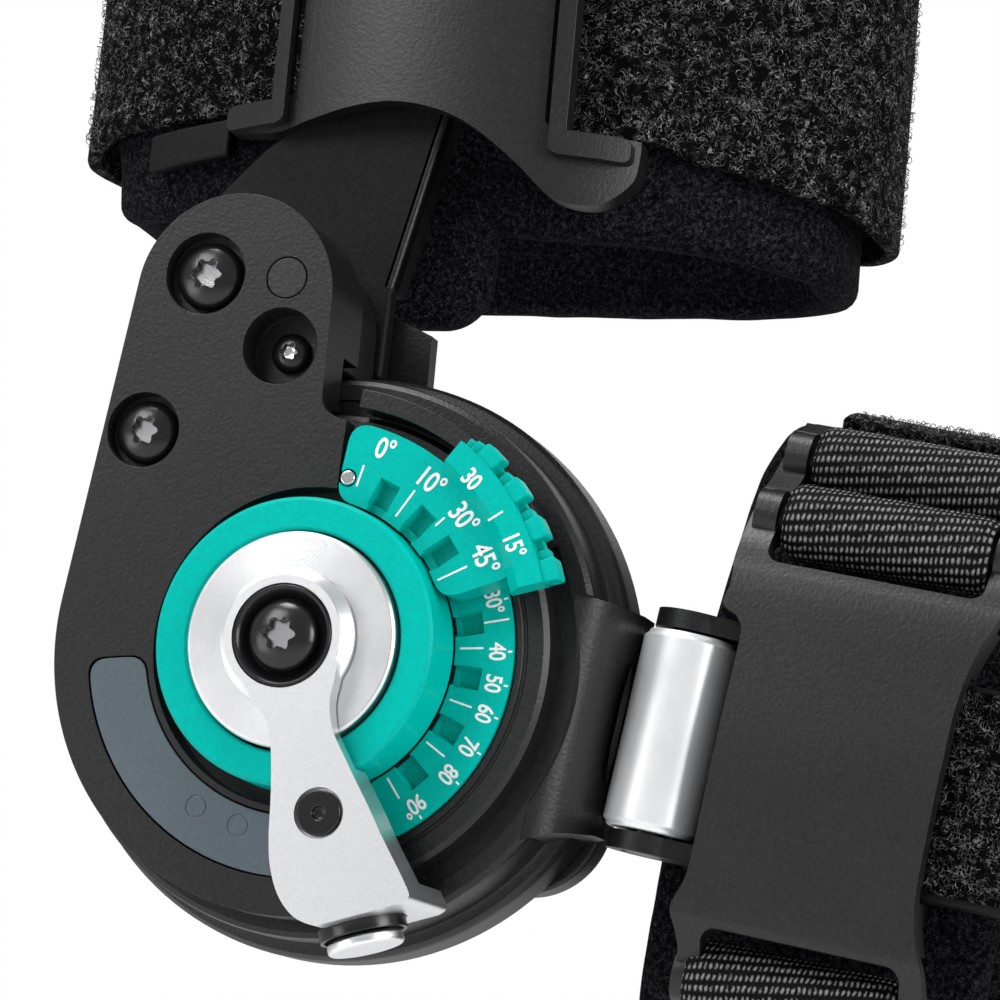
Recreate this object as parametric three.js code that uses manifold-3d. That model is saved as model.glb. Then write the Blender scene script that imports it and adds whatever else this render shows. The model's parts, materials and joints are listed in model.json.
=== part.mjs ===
// Elbow brace with a range-of-motion hinge: an upper arm cuff, a stop dial hinge with a lock
// lever, a forearm link with a swivel barrel, and a forearm cuff.
// Millimetres, +Z up along the upper arm, +X forward, the hinge's face towards -Y.
// The origin is the middle of the upper cuff's hollow.
import * as THREE from 'three';
import { mergeVertices } from 'three/addons/utils/BufferGeometryUtils.js';
import Module from 'manifold-3d';

const wasm = await Module();
wasm.setup();

// Driving dimensions: clearances
const FIT = 0.3; // between pieces that seat on each other
const RUN = 0.5; // between layers that turn past each other

// Hinge stack: radii about the pivot, and depths behind the silver disc's face
const DISC_R = 12.5;
const RING_R = 16.7;
const RING_STEP = 0.94; // teal ring's face behind the disc's face
const BOSS_DEPTH = 5.0; // disc and ring, front to back
const COVER_SETBACK = 5.5; // cover's face behind the disc's face
const COVER_WALL = 3.0;
const SKIRT_WALL = 2.6;
const SKIRT_DEPTH = 6.3; // the round skirt, from the cover's face
const COVER_BORE_R = 18.6;
const LOBE_X = -13.2;
const LOBE_Z = 41.3;
const LOBE_R = 12.2;
const LOBE_DEPTH = 11.5;
const NOTCH_X = 2.3;
const NOTCH_Z = 26.6;
const COVER_END_DEG = 292; // where the cover ends, under the lever
const RIM_FROM_DEG = 27;
const RIM_TO_DEG = 83;
const RIM_SETBACK = 0.5; // rim's face behind the cover's face

// Pivot
const PIVOT_R = 3.0;
const PIVOT_HEAD_R = 4.1;
const PIVOT_HEAD = 2.2;
const DISH_R = 5.5;

// Screws of the cover: centre, head radius, recess radius, recess depth
const SCREW_ROWS = [
  { name: 'cover_screw_upper', x: -17.0, z: 43.7, head: 4.15, recess: 5.3, sink: 2.4 },
  { name: 'cover_screw_lower', x: -23.0, z: 24.8, head: 3.95, recess: 4.8, sink: 2.4 },
  { name: 'cover_screw_deep', x: -6.8, z: 35.2, head: 2.4, recess: 4.6, sink: 4.6 },
];
const SCREW_RISE = 2.1; // height of a domed head
const PLUG_X = -6.8;
const PLUG_Z = 43.4;
const PLUG_R = 2.4;
const PLUG_DEPTH = 1.0;

// Slate insert in the cover
const SLATE_IN_R = 19.6;
const SLATE_RIM = 4.6; // cover left outside the insert
const SLATE_FROM_DEG = 186;
const SLATE_TO_DEG = 279;
const SLATE_DEPTH = 1.5;

// Link: the turning housing, its arm and the barrel it carries
const LINK_R = 28.0;
const LINK_STEP = 3.1; // depth of the front step
const BAND_STEP = 5.0; // band's radius past the link's disc
const BAND_DEPTH = 7.6;
const FLANGE_STEP = 1.8; // flange's radius past the band
const FLANGE_DEPTH = 7.0;
const BACK_PLATE = 4.8; // the link's own back plate
const BACK_CORNER_R = 9.8;
const BACK_CORNER_A = 23.5;
const BACK_CORNER_B = -11.9;
const ARM_LOW = -13.3;
const ARM_HIGH = 12.8;
const REST_DROP_DEG = 8.35; // forearm below the horizontal at rest

// Barrel across the end of the link
const BARREL_REACH = 11.9; // barrel's axis past the link's disc
const BARREL_D = 23.0; // barrel's axis, behind the disc's face
const BARREL_R = 5.6;
const BARREL_LENGTH = 23.3;
const EAR_GAP = 0.35; // barrel's end to the bar's ear
const BARREL_PIN_R = 2.4;
const EAR_WALL = 2.2;

// Teal stop pieces
const LOW_DIAL_IN_R = 17.4;
const LOW_DIAL_RIM = 4.0; // link's disc left outside the scale
const LOW_DIAL_PROUD = 0.4;
const LOW_DIAL_DEPTH = 1.6;
const LOW_DIAL_FROM_DEG = -52;
const LOW_DIAL_TO_DEG = 40;
const STOP_IN_R = 17.3;
const STOP_RIM = 1.6; // link's disc left outside the stop
const STOP_FACE = 4.0; // stop's face behind the disc's face
const STOP_FROM_DEG = 20;
const STOP_TO_DEG = 82;
const GRIP_FACE = 2.0;
const GRIP_OVERHANG = 0.5; // past the cover's edge
const GRIP_FROM_DEG = 16;
const GRIP_TO_DEG = 54;
const GRIP_RIBS = 5;
const WELL_SIZE = 2.6;
const STOP_PIN_R = 0.95;

// Lock lever
const LEVER_DEG = -72; // direction of the lever at rest
const LEVER_PROUD = 2.7; // lever's face in front of the disc's face
const LEVER_OVERHANG = 1.9; // lever's end past the cover's edge
const LEVER_RING_R = 6.9;
const LEVER_FOOT_R = 8.0;
const LEVER_BELLY = 3.4; // back of the arm behind the disc's face, past the teal ring
const LEVER_SCREW_SETBACK = 12.2; // from the lever's end
const LEVER_SCREW_R = 2.7;
const BUTTON_R = 4.4;
const BUTTON_D = 5.0;
const BUTTON_TRAVEL = 1.2;
const COLLAR_WALL = 0.7;

// Upper bar, back plate and shell
const BAR_SETBACK = 29.6; // upper bar's face behind the disc's face
const BAR_WALL = 3.0;
const BACK_WALL = 2.5;
const BACK_DISC_R = 20;
const SHELL_FACE = 24.5;
const SHELL_BEND_R = 46;
const SHELL_WALL = 2.8;
const SHELL_HALF = 16.2;
const SHELL_TOP = 128;
const EAR_REACH = 27;
const BAR_LEFT = -12.6; // sides of the upper bar where it runs in the shell
const BAR_RIGHT = 3.6;
const BAR_FOOT_LEFT = -21;
const BAR_FOOT_RIGHT = -2.4;
const BAR_FOOT_HIGH = 11; // straight part of the foot's forward side
const BAR_NARROWS = 52; // height where the foot starts to narrow
const BAR_STRAIGHT_REAR = 66;
const BAR_STRAIGHT_FRONT = 72;
const TAIL_LEFT = -17; // back plate's tail behind the bar
const TAIL_SHOULDER = 43;
const TAIL_NECK = -4;
const TAIL_TOP = 61.5;
const GUIDE_WALL = 1.8;

// Upper cuff: half sizes of the pad's outer face, and its heights above the pivot
const UPPER_HALF_X = 50.2;
const UPPER_HALF_Y = 21.0;
const UPPER_PAD = 5.0;
const UPPER_PAD_LOW = 55.5;
const UPPER_PAD_HIGH = 134;
const UPPER_CENTRE_X = 2.0;
const UPPER_REAR = 1.07; // the rear end of the oval is this much longer
const UPPER_POWER = 2.6;
const STRAP_WALL = 2.0;
const UPPER_STRAP_LOW = 68.0;
const UPPER_STRAP_WIDTH = 48;
const TAB_LOW = 44.9;
const TAB_LEFT = -16;
const TAB_RIGHT = 8.3;

// Forearm cuff, measured along the forearm from the pivot
const CUFF_REACH = 20.1; // middle of the cuff past the barrel
const FORE_SHELL_PROUD = 6.4; // shell's face in front of the barrel's axis
const FORE_SHELL_WALL = 2.6;
const FORE_SHELL_HALF = 16.2;
const FORE_WAIST = 12.9;
const WEB_WIDTH = 24.4;
const ROLL_R = 4.5;
const ROLL_WALL = 2.0;
const ROD_R = 1.9;
const FORE_PAD_SETBACK = 6.5; // pad's face behind the barrel's axis
const FORE_HALF_B = 44;
const FORE_HALF_D = 26.2;
const FORE_POWER = 2.5;
const FORE_PAD = 5.0;
const FORE_PAD_HALF = 20.5;
const FORE_STRAP_WIDTH = 27;
const FORE_BAR_LAP = 0.4; // bar's edge past the inner face of its ear
const FORE_BAR_PROUD = 0.7; // bar's face in front of the barrel's axis
const FORE_BAR_REACH = 44; // bar's end past the middle of the cuff
const FABRIC_WALL = 1.4;

// Radii and lengths worked out from the link's disc
const COVER_R = LINK_R + RUN + SKIRT_WALL;
const BAND_R = LINK_R + BAND_STEP;
const FLANGE_R = BAND_R + FLANGE_STEP;
const SLATE_OUT_R = COVER_R - SLATE_RIM;
const LOW_DIAL_OUT_R = LINK_R - LOW_DIAL_RIM;
const STOP_OUT_R = LINK_R - STOP_RIM;
const GRIP_OUT_R = COVER_R + GRIP_OVERHANG;
const LEVER_LENGTH = COVER_R + LEVER_OVERHANG;
const LEVER_SCREW_AT = LEVER_LENGTH - LEVER_SCREW_SETBACK;
const BARREL_A = LINK_R + BARREL_REACH;
const CUFF_A = BARREL_A + CUFF_REACH;
const FORE_BAR_END = CUFF_A + FORE_BAR_REACH;
const EAR_IN = BARREL_LENGTH / 2 + EAR_GAP;
const FORE_BAR_HALF = EAR_IN + FORE_BAR_LAP;

// Levels worked out from the stack
const COVER_BACK = COVER_SETBACK + COVER_WALL;
const LINK_FACE = COVER_BACK + RUN;
const BAND_FACE = LINK_FACE + LINK_STEP;
const FLANGE_FACE = BAND_FACE + BAND_DEPTH;
const LINK_BACK = FLANGE_FACE + FLANGE_DEPTH;
const BACK_FACE = BAR_SETBACK + BAR_WALL + FIT;
const BACK_END = BACK_FACE + BACK_WALL;
const UPPER_FACE = BACK_END + FIT;
const UPPER_CENTRE_D = UPPER_FACE + UPPER_HALF_Y;
const UPPER_MIDDLE = (UPPER_PAD_LOW + UPPER_PAD_HIGH) / 2;
const FORE_SHELL_FACE = BARREL_D - FORE_SHELL_PROUD;
const FORE_BAR_FACE = BARREL_D - FORE_BAR_PROUD;
const FORE_PAD_FACE = BARREL_D + FORE_PAD_SETBACK;
const FORE_CENTRE_D = FORE_PAD_FACE + FORE_HALF_D;

// Finishes
const finish = (color, roughness, metalness) => new THREE.MeshStandardMaterial({
  color, roughness, metalness,
});
const BLACK = () => finish(0x2c2d2f, 0.55, 0);
const TEAL = () => finish(0x00b8a2, 0.35, 0);
const SLATE = () => finish(0x59636b, 0.3, 0);
const SILVER = () => finish(0xd4d5d8, 0.35, 1);
const STEEL = () => finish(0x26272a, 0.3, 0.8);
const CLOTH = () => finish(0x0f0f11, 0.95, 0);
const WEBBING = () => finish(0x141416, 0.85, 0);

const rad = (degrees) => degrees * Math.PI / 180;
const polar = (radius, degrees) => [radius * Math.cos(rad(degrees)), radius * Math.sin(rad(degrees))];

// Strips a geometry to its positions, merges them and turns the faces outwards.
function sealed(geometry) {
  geometry.deleteAttribute('normal');
  geometry.deleteAttribute('uv');
  const merged = mergeVertices(geometry, 1e-4);
  const points = merged.attributes.position;
  const index = merged.index.array;
  const a = new THREE.Vector3();
  const b = new THREE.Vector3();
  const c = new THREE.Vector3();
  let volume = 0;
  for (let i = 0; i < index.length; i += 3) {
    a.fromBufferAttribute(points, index[i]);
    b.fromBufferAttribute(points, index[i + 1]);
    c.fromBufferAttribute(points, index[i + 2]);
    volume += a.dot(b.cross(c));
  }
  if (volume < 0) {
    for (let i = 0; i < index.length; i += 3) {
      [index[i], index[i + 1]] = [index[i + 1], index[i]];
    }
  }
  return merged;
}

function toSolid(geometry) {
  const ready = sealed(geometry);
  return new wasm.Manifold(new wasm.Mesh({
    numProp: 3,
    vertProperties: new Float32Array(ready.attributes.position.array),
    triVerts: new Uint32Array(ready.index.array),
  }));
}

function toGeometry(solid) {
  const mesh = solid.getMesh();
  const geometry = new THREE.BufferGeometry();
  geometry.setAttribute('position', new THREE.BufferAttribute(new Float32Array(mesh.vertProperties), 3));
  geometry.setIndex(new THREE.BufferAttribute(new Uint32Array(mesh.triVerts), 1));
  return geometry;
}

const join = (first, ...others) => others.reduce((sum, next) => sum.add(next), first);
const cut = (first, ...others) => others.reduce((rest, next) => rest.subtract(next), first);

const polygon = (points) => new THREE.Shape(points.map(([x, y]) => new THREE.Vector2(x, y)));

// An outline drawn in X and Z, extruded along Y between two depths.
function plate(points, near, far) {
  const geometry = new THREE.ExtrudeGeometry(polygon(points), { depth: far - near, bevelEnabled: false });
  geometry.translate(0, 0, -far);
  geometry.applyMatrix4(new THREE.Matrix4().makeBasis(
    new THREE.Vector3(1, 0, 0), new THREE.Vector3(0, 0, 1), new THREE.Vector3(0, -1, 0),
  ));
  return toSolid(geometry);
}

// An outline drawn in Y (depth) and Z, extruded along X.
function lengthwise(points, from, to) {
  const geometry = new THREE.ExtrudeGeometry(polygon(points), { depth: to - from, bevelEnabled: false });
  geometry.translate(0, 0, from);
  geometry.applyMatrix4(new THREE.Matrix4().makeBasis(
    new THREE.Vector3(0, 1, 0), new THREE.Vector3(0, 0, 1), new THREE.Vector3(1, 0, 0),
  ));
  return toSolid(geometry);
}

// An outline drawn in X and Y (depth), extruded along Z.
function upright(points, low, high) {
  const geometry = new THREE.ExtrudeGeometry(polygon(points), { depth: high - low, bevelEnabled: false });
  geometry.translate(0, 0, low);
  return toSolid(geometry);
}

// A profile of radius and depth, turned about the hinge axis.
function turned(profile, segments = 48) {
  const points = profile.map(([radius, depth]) => new THREE.Vector2(radius, depth));
  return toSolid(new THREE.LatheGeometry(points, segments));
}

const drum = (radius, near, far, segments = 48) => turned(
  [[0, near], [radius, near], [radius, far], [0, far]],
  segments,
);

const washer = (inner, outer, near, far, segments = 48) => turned(
  [[inner, near], [outer, near], [outer, far], [inner, far], [inner, near]],
  segments,
);

const box = (x0, x1, y0, y1, z0, z1) => upright([[x0, y0], [x1, y0], [x1, y1], [x0, y1]], z0, z1);

// Points of an arc, ends included.
function arc(x, y, radius, fromDeg, toDeg, steps) {
  const points = [];
  for (let i = 0; i <= steps; i += 1) {
    const [px, py] = polar(radius, fromDeg + (toDeg - fromDeg) * i / steps);
    points.push([x + px, y + py]);
  }
  return points;
}

// Points of a bend between two points that heads for a corner, ends included.
function bend([ax, ay], [cx, cy], [bx, by], steps = 3) {
  const points = [];
  for (let i = 0; i <= steps; i += 1) {
    const t = i / steps;
    const s = 1 - t;
    points.push([s * s * ax + 2 * s * t * cx + t * t * bx, s * s * ay + 2 * s * t * cy + t * t * by]);
  }
  return points;
}

const disc = (x, y, radius, sides = 16) => arc(x, y, radius, 0, 360 - 360 / sides, sides - 1);

// Part of a ring between two angles, with rounded corners of the given radius.
function sector(inner, outer, fromDeg, toDeg, corner, steps) {
  const outTurn = corner / outer * 180 / Math.PI;
  const inTurn = corner / inner * 180 / Math.PI;
  const outArc = arc(0, 0, outer, fromDeg + outTurn, toDeg - outTurn, steps);
  const inArc = arc(0, 0, inner, toDeg - inTurn, fromDeg + inTurn, steps);
  if (corner === 0) return [...outArc, ...inArc];
  return [
    ...outArc,
    ...bend(outArc[steps], polar(outer, toDeg), polar(outer - corner, toDeg)).slice(1),
    ...bend(polar(inner + corner, toDeg), polar(inner, toDeg), inArc[0]).slice(0, -1),
    ...inArc,
    ...bend(inArc[steps], polar(inner, fromDeg), polar(inner + corner, fromDeg)).slice(1),
    ...bend(polar(outer - corner, fromDeg), polar(outer, fromDeg), outArc[0]).slice(0, -1),
  ];
}

// A rectangle with rounded corners.
function roundedBox(x0, x1, y0, y1, corner) {
  return [
    ...bend([x0, y0 + corner], [x0, y0], [x0 + corner, y0]),
    ...bend([x1 - corner, y0], [x1, y0], [x1, y0 + corner]),
    ...bend([x1, y1 - corner], [x1, y1], [x1 - corner, y1]),
    ...bend([x0 + corner, y1], [x0, y1], [x0, y1 - corner]),
  ];
}

// Joins a row of closed sections, each a list of points, into one body.
function skinned(sections, closed) {
  const around = sections[0].length;
  const positions = [];
  sections.forEach((section) => section.forEach((point) => positions.push(point.x, point.y, point.z)));
  const index = [];
  const spans = closed ? sections.length : sections.length - 1;
  for (let i = 0; i < spans; i += 1) {
    const next = (i + 1) % sections.length;
    for (let j = 0; j < around; j += 1) {
      const across = (j + 1) % around;
      const a = i * around + j;
      const b = i * around + across;
      const c = next * around + across;
      const d = next * around + j;
      index.push(a, b, c, a, c, d);
    }
  }
  if (!closed) {
    const last = (sections.length - 1) * around;
    for (let j = 1; j < around - 1; j += 1) {
      index.push(0, j + 1, j);
      index.push(last, last + j, last + j + 1);
    }
  }
  const geometry = new THREE.BufferGeometry();
  geometry.setAttribute('position', new THREE.BufferAttribute(new Float32Array(positions), 3));
  geometry.setIndex(index);
  return toSolid(geometry);
}

// A point on a rounded oval, moved out along its normal.
function oval(halfU, halfV, power, turn, out) {
  const cos = Math.cos(turn);
  const sin = Math.sin(turn);
  const u = Math.sign(cos) * halfU * Math.abs(cos) ** (2 / power);
  const v = Math.sign(sin) * halfV * Math.abs(sin) ** (2 / power);
  const nu = Math.sign(u) * Math.abs(u / halfU) ** (power - 1) / halfU;
  const nv = Math.sign(v) * Math.abs(v / halfV) ** (power - 1) / halfV;
  const length = Math.hypot(nu, nv);
  return [u + out * nu / length, v + out * nv / length];
}

// A wall that follows a rounded oval. place(u, v, w) puts a point of the oval at height w.
function wall({ halfU, halfV, power, inner, outer, from, to, steps, low, high, round, place }) {
  const sections = [];
  const closed = to - from >= Math.PI * 2 - 1e-6;
  const stations = closed ? steps : steps + 1;
  for (let i = 0; i < stations; i += 1) {
    const turn = from + (to - from) * i / steps;
    const bottom = low(turn);
    const top = high(turn);
    const ends = round > 0
      ? [[inner, bottom + round], [inner + round, bottom], [outer - round, bottom], [outer, bottom + round],
        [outer, top - round], [outer - round, top], [inner + round, top], [inner, top - round]]
      : [[inner, bottom], [outer, bottom], [outer, top], [inner, top]];
    sections.push(ends.map(([out, w]) => {
      const [u, v] = oval(halfU, halfV, power, turn, out);
      return place(u, v, w);
    }));
  }
  return skinned(sections, closed);
}

// Six-lobed socket of a screw, as an outline.
function lobedSocket(x, y, radius) {
  const points = [];
  for (let i = 0; i < 12; i += 1) {
    const reach = radius * (i % 2 === 0 ? 1 : 0.72);
    const [px, py] = polar(reach, i * 30);
    points.push([x + px, y + py]);
  }
  return points;
}

// A domed screw head on a short shank, with its socket, facing -Y.
function domedScrew(x, z, headRadius, face, rise, shank, shankEnd) {
  const seat = face + rise;
  const head = turned([
    [0, face], [headRadius * 0.45, face + rise * 0.07], [headRadius * 0.75, face + rise * 0.3],
    [headRadius * 0.95, face + rise * 0.66], [headRadius, seat], [shank, seat], [shank, shankEnd],
    [0, shankEnd],
  ], 16);
  const socket = plate(lobedSocket(0, 0, headRadius * 0.46), face - 1, face + rise * 0.75);
  return cut(head, socket).translate([x, 0, z]);
}

const model = new THREE.Group();
const upper = new THREE.Group();
const forearm = new THREE.Group();
model.add(upper);
upper.position.set(-UPPER_CENTRE_X, -UPPER_CENTRE_D, -UPPER_MIDDLE);
upper.add(forearm);
forearm.rotation.y = rad(REST_DROP_DEG);

function addPiece(group, name, solid, material) {
  const mesh = new THREE.Mesh(toGeometry(solid), material);
  mesh.name = name;
  group.add(mesh);
  return mesh;
}

// Hinge cover

// The cover's outline: the notch at the dial, the lobe, the tangent to the round face, and the bore.
function coverOutline() {
  const reach = Math.hypot(LOBE_X, LOBE_Z);
  const lean = Math.atan2(LOBE_Z, LOBE_X);
  const tangent = (lean + Math.acos((COVER_R - LOBE_R) / reach)) * 180 / Math.PI;
  const bore = Math.acos((NOTCH_X - FIT) / COVER_BORE_R) * 180 / Math.PI;
  const side = LOBE_X + LOBE_R;
  return [
    ...bend([NOTCH_X, NOTCH_Z], [side, NOTCH_Z + 0.6], [side, NOTCH_Z + 3]),
    ...arc(LOBE_X, LOBE_Z, LOBE_R, 0, tangent, 18),
    ...arc(0, 0, COVER_R, tangent, COVER_END_DEG, 20),
    ...arc(0, 0, COVER_BORE_R, COVER_END_DEG, bore, 30),
  ];
}

function frontCover() {
  const back = COVER_SETBACK + LOBE_DEPTH;
  let body = cut(
    plate(coverOutline(), COVER_SETBACK, back),
    drum(COVER_R - SKIRT_WALL, COVER_BACK, back + 1, 40),
    drum(FLANGE_R + RUN, COVER_SETBACK + SKIRT_DEPTH, back + 1, 40),
  );
  SCREW_ROWS.forEach((row) => {
    const recess = plate(disc(row.x, row.z, row.recess, 24), COVER_SETBACK - 1, COVER_SETBACK + row.sink);
    body = body.subtract(recess);
  });
  const plugSeat = plate(
    disc(PLUG_X, PLUG_Z, PLUG_R + FIT, 16),
    COVER_SETBACK - 1,
    COVER_SETBACK + PLUG_DEPTH + FIT,
  );
  const bed = plate(
    sector(SLATE_IN_R - FIT, SLATE_OUT_R + FIT, SLATE_FROM_DEG - 0.8, SLATE_TO_DEG + 0.8, 2, 16),
    COVER_SETBACK - 1,
    COVER_SETBACK + SLATE_DEPTH,
  );
  return cut(body, plugSeat, bed);
}

addPiece(upper, 'front_cover', frontCover(), BLACK());
SCREW_ROWS.forEach((row) => {
  const floor = COVER_SETBACK + row.sink - FIT;
  const rise = Math.min(SCREW_RISE, row.head * 0.6);
  const screw = domedScrew(row.x, row.z, row.head, floor - rise, rise, row.head * 0.5, floor);
  addPiece(upper, row.name, screw, STEEL());
});
addPiece(
  upper,
  'cover_plug',
  plate(disc(PLUG_X, PLUG_Z, PLUG_R, 16), COVER_SETBACK, COVER_SETBACK + PLUG_DEPTH),
  BLACK(),
);
addPiece(
  upper,
  'slate_insert',
  plate(
    sector(SLATE_IN_R, SLATE_OUT_R, SLATE_FROM_DEG, SLATE_TO_DEG, 2, 16),
    COVER_SETBACK,
    COVER_SETBACK + SLATE_DEPTH - FIT,
  ),
  SLATE(),
);

// Block that carries the cover's lobe on the upper bar, clear of the turning link.
function coverBlock() {
  const front = COVER_SETBACK + LOBE_DEPTH + FIT;
  const inset = LOBE_R - 2.2;
  const outline = [
    ...arc(LOBE_X, LOBE_Z, inset, 0, 180, 12),
    [LOBE_X - inset - 1.7, NOTCH_Z + 2], [LOBE_X + inset, NOTCH_Z + 8],
  ];
  return plate(outline, front, BAR_SETBACK - FIT).subtract(drum(FLANGE_R + RUN, front - 1, BAR_SETBACK, 48));
}
addPiece(upper, 'cover_block', coverBlock(), BLACK());

// Rim wall round the upper part of the dial.
addPiece(
  upper,
  'dial_rim',
  plate(
    sector(LINK_R + RUN, COVER_R - FIT, RIM_FROM_DEG, RIM_TO_DEG, 0, 14),
    COVER_SETBACK + RIM_SETBACK,
    BAND_FACE - RUN,
  ),
  BLACK(),
);

// Silver disc, teal ring and pivot

addPiece(upper, 'silver_disc', washer(PIVOT_R + FIT, DISC_R, 0, BOSS_DEPTH, 40), SILVER());
addPiece(upper, 'teal_ring', washer(DISC_R + FIT, RING_R, RING_STEP, BOSS_DEPTH, 40), TEAL());

// Carrier under the disc and the ring, standing on the pivot's shoulder.
addPiece(
  upper,
  'dial_carrier',
  washer(PIVOT_R + FIT, LOW_DIAL_IN_R - RUN, BOSS_DEPTH + FIT, LINK_FACE - RUN, 32),
  BLACK(),
);

function pivotDish() {
  const face = -LEVER_PROUD;
  return turned([
    [PIVOT_R + FIT, -FIT], [DISH_R, -FIT], [DISH_R, face], [DISH_R - 0.5, face - 0.15],
    [PIVOT_HEAD_R + FIT, face + 1.1], [PIVOT_R + FIT, face + 1.4], [PIVOT_R + FIT, -FIT],
  ], 28);
}
addPiece(upper, 'pivot_dish', pivotDish(), STEEL());

function pivotScrew() {
  const seat = -LEVER_PROUD + 1.1 - FIT;
  const face = seat - PIVOT_HEAD;
  return domedScrew(0, 0, PIVOT_HEAD_R, face, PIVOT_HEAD, PIVOT_R, BACK_END);
}
addPiece(upper, 'pivot_screw', pivotScrew(), STEEL());

// Link: housing, arm, back plate and barrel

function linkHousing() {
  const housing = turned([
    [PIVOT_R + FIT, LINK_FACE], [LINK_R - 0.4, LINK_FACE], [LINK_R, LINK_FACE + 0.4], [LINK_R, BAND_FACE],
    [BAND_R - 0.7, BAND_FACE], [BAND_R, BAND_FACE + 2], [BAND_R, FLANGE_FACE], [FLANGE_R - 0.6, FLANGE_FACE],
    [FLANGE_R, FLANGE_FACE + 1.5], [FLANGE_R, LINK_BACK], [PIVOT_R + FIT, LINK_BACK],
    [PIVOT_R + FIT, LINK_FACE],
  ], 48);
  const front = BARREL_A - BARREL_R - FIT;
  const flank = [
    [LINK_R - 6, LINK_FACE + 0.2], [LINK_R - 0.6, LINK_FACE + 0.2], [LINK_R + 0.3, LINK_FACE + 3],
    [LINK_R + 1.0, LINK_FACE + 6], [LINK_R + 2.1, LINK_FACE + 9], [LINK_R + 3.8, LINK_FACE + 11.6],
    [front, LINK_FACE + 12.6], [front, LINK_BACK], [LINK_R - 6, LINK_BACK],
  ];
  const armFlank = upright(flank, ARM_LOW, ARM_HIGH)
    .subtract(washer(LINK_R, FLANGE_R + BARREL_REACH, LINK_FACE - 1, COVER_SETBACK + SKIRT_DEPTH + RUN));
  const saddle = [
    [front - 0.5, BARREL_D - 1], [BARREL_A - 2, BARREL_D + BARREL_R - 1],
    [BARREL_A - 2, BARREL_D + BARREL_R + 2.2], [front - 0.5, BARREL_D + 4.3],
  ];
  const cradle = upright(saddle, -BARREL_LENGTH / 2 + FIT, BARREL_LENGTH / 2 - FIT);
  const barrelRoom = upright(disc(BARREL_A, BARREL_D, BARREL_R + FIT, 24), -BARREL_LENGTH, BARREL_LENGTH);
  const bed = plate(
    sector(LOW_DIAL_IN_R - FIT, LOW_DIAL_OUT_R + FIT, LOW_DIAL_FROM_DEG - 1, LOW_DIAL_TO_DEG + 1, 0, 16),
    LINK_FACE - 1,
    LINK_FACE + LOW_DIAL_DEPTH - LOW_DIAL_PROUD + FIT,
  );
  return cut(join(housing, armFlank, cradle), barrelRoom, bed);
}
addPiece(forearm, 'link_arm', linkHousing(), BLACK());

function linkBackPlate() {
  const right = BACK_CORNER_A + BACK_CORNER_R;
  const bottom = BACK_CORNER_B - BACK_CORNER_R;
  const left = BACK_CORNER_B - 2;
  const outline = [
    [left, bottom + 6], [left + 12, bottom],
    ...arc(BACK_CORNER_A, BACK_CORNER_B, BACK_CORNER_R, -90, 0, 8),
    [right, ARM_HIGH - 4], [right - 4, ARM_HIGH], [left, ARM_HIGH],
  ];
  const body = plate(outline, LINK_BACK + FIT, LINK_BACK + FIT + BACK_PLATE);
  return body.subtract(drum(PIVOT_R + FIT, LINK_BACK - 1, LINK_BACK + BACK_PLATE + 2, 20));
}
addPiece(forearm, 'link_back_plate', linkBackPlate(), BLACK());

function barrel() {
  const half = BARREL_LENGTH / 2;
  const tube = upright(disc(BARREL_A, BARREL_D, BARREL_R, 32), -half, half);
  return tube.subtract(upright(disc(BARREL_A, BARREL_D, BARREL_PIN_R + FIT), -half - 1, half + 1));
}
addPiece(forearm, 'barrel', barrel(), SILVER());

addPiece(
  forearm,
  'barrel_pin',
  upright(disc(BARREL_A, BARREL_D, BARREL_PIN_R), -EAR_IN - EAR_WALL, EAR_IN + EAR_WALL),
  STEEL(),
);

// Teal scale on the link, with a square well at each setting.
function scaleWells(from, to, count, radius, face) {
  const wells = [];
  for (let i = 0; i < count; i += 1) {
    const turn = from + (to - from) * i / (count - 1);
    const half = WELL_SIZE / 2;
    const well = box(radius - half, radius + half, face - 1, face + 0.9, -half, half);
    wells.push(well.rotate([0, -turn, 0]));
  }
  return wells;
}

function lowDial() {
  const face = LINK_FACE - LOW_DIAL_PROUD;
  const body = plate(
    sector(LOW_DIAL_IN_R, LOW_DIAL_OUT_R, LOW_DIAL_FROM_DEG, LOW_DIAL_TO_DEG, 0, 20),
    face,
    face + LOW_DIAL_DEPTH,
  );
  const middle = LOW_DIAL_IN_R + WELL_SIZE / 2 + 0.7;
  return cut(body, ...scaleWells(LOW_DIAL_FROM_DEG + 15, LOW_DIAL_TO_DEG - 20, 4, middle, face));
}
addPiece(forearm, 'lower_dial', lowDial(), TEAL());

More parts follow.
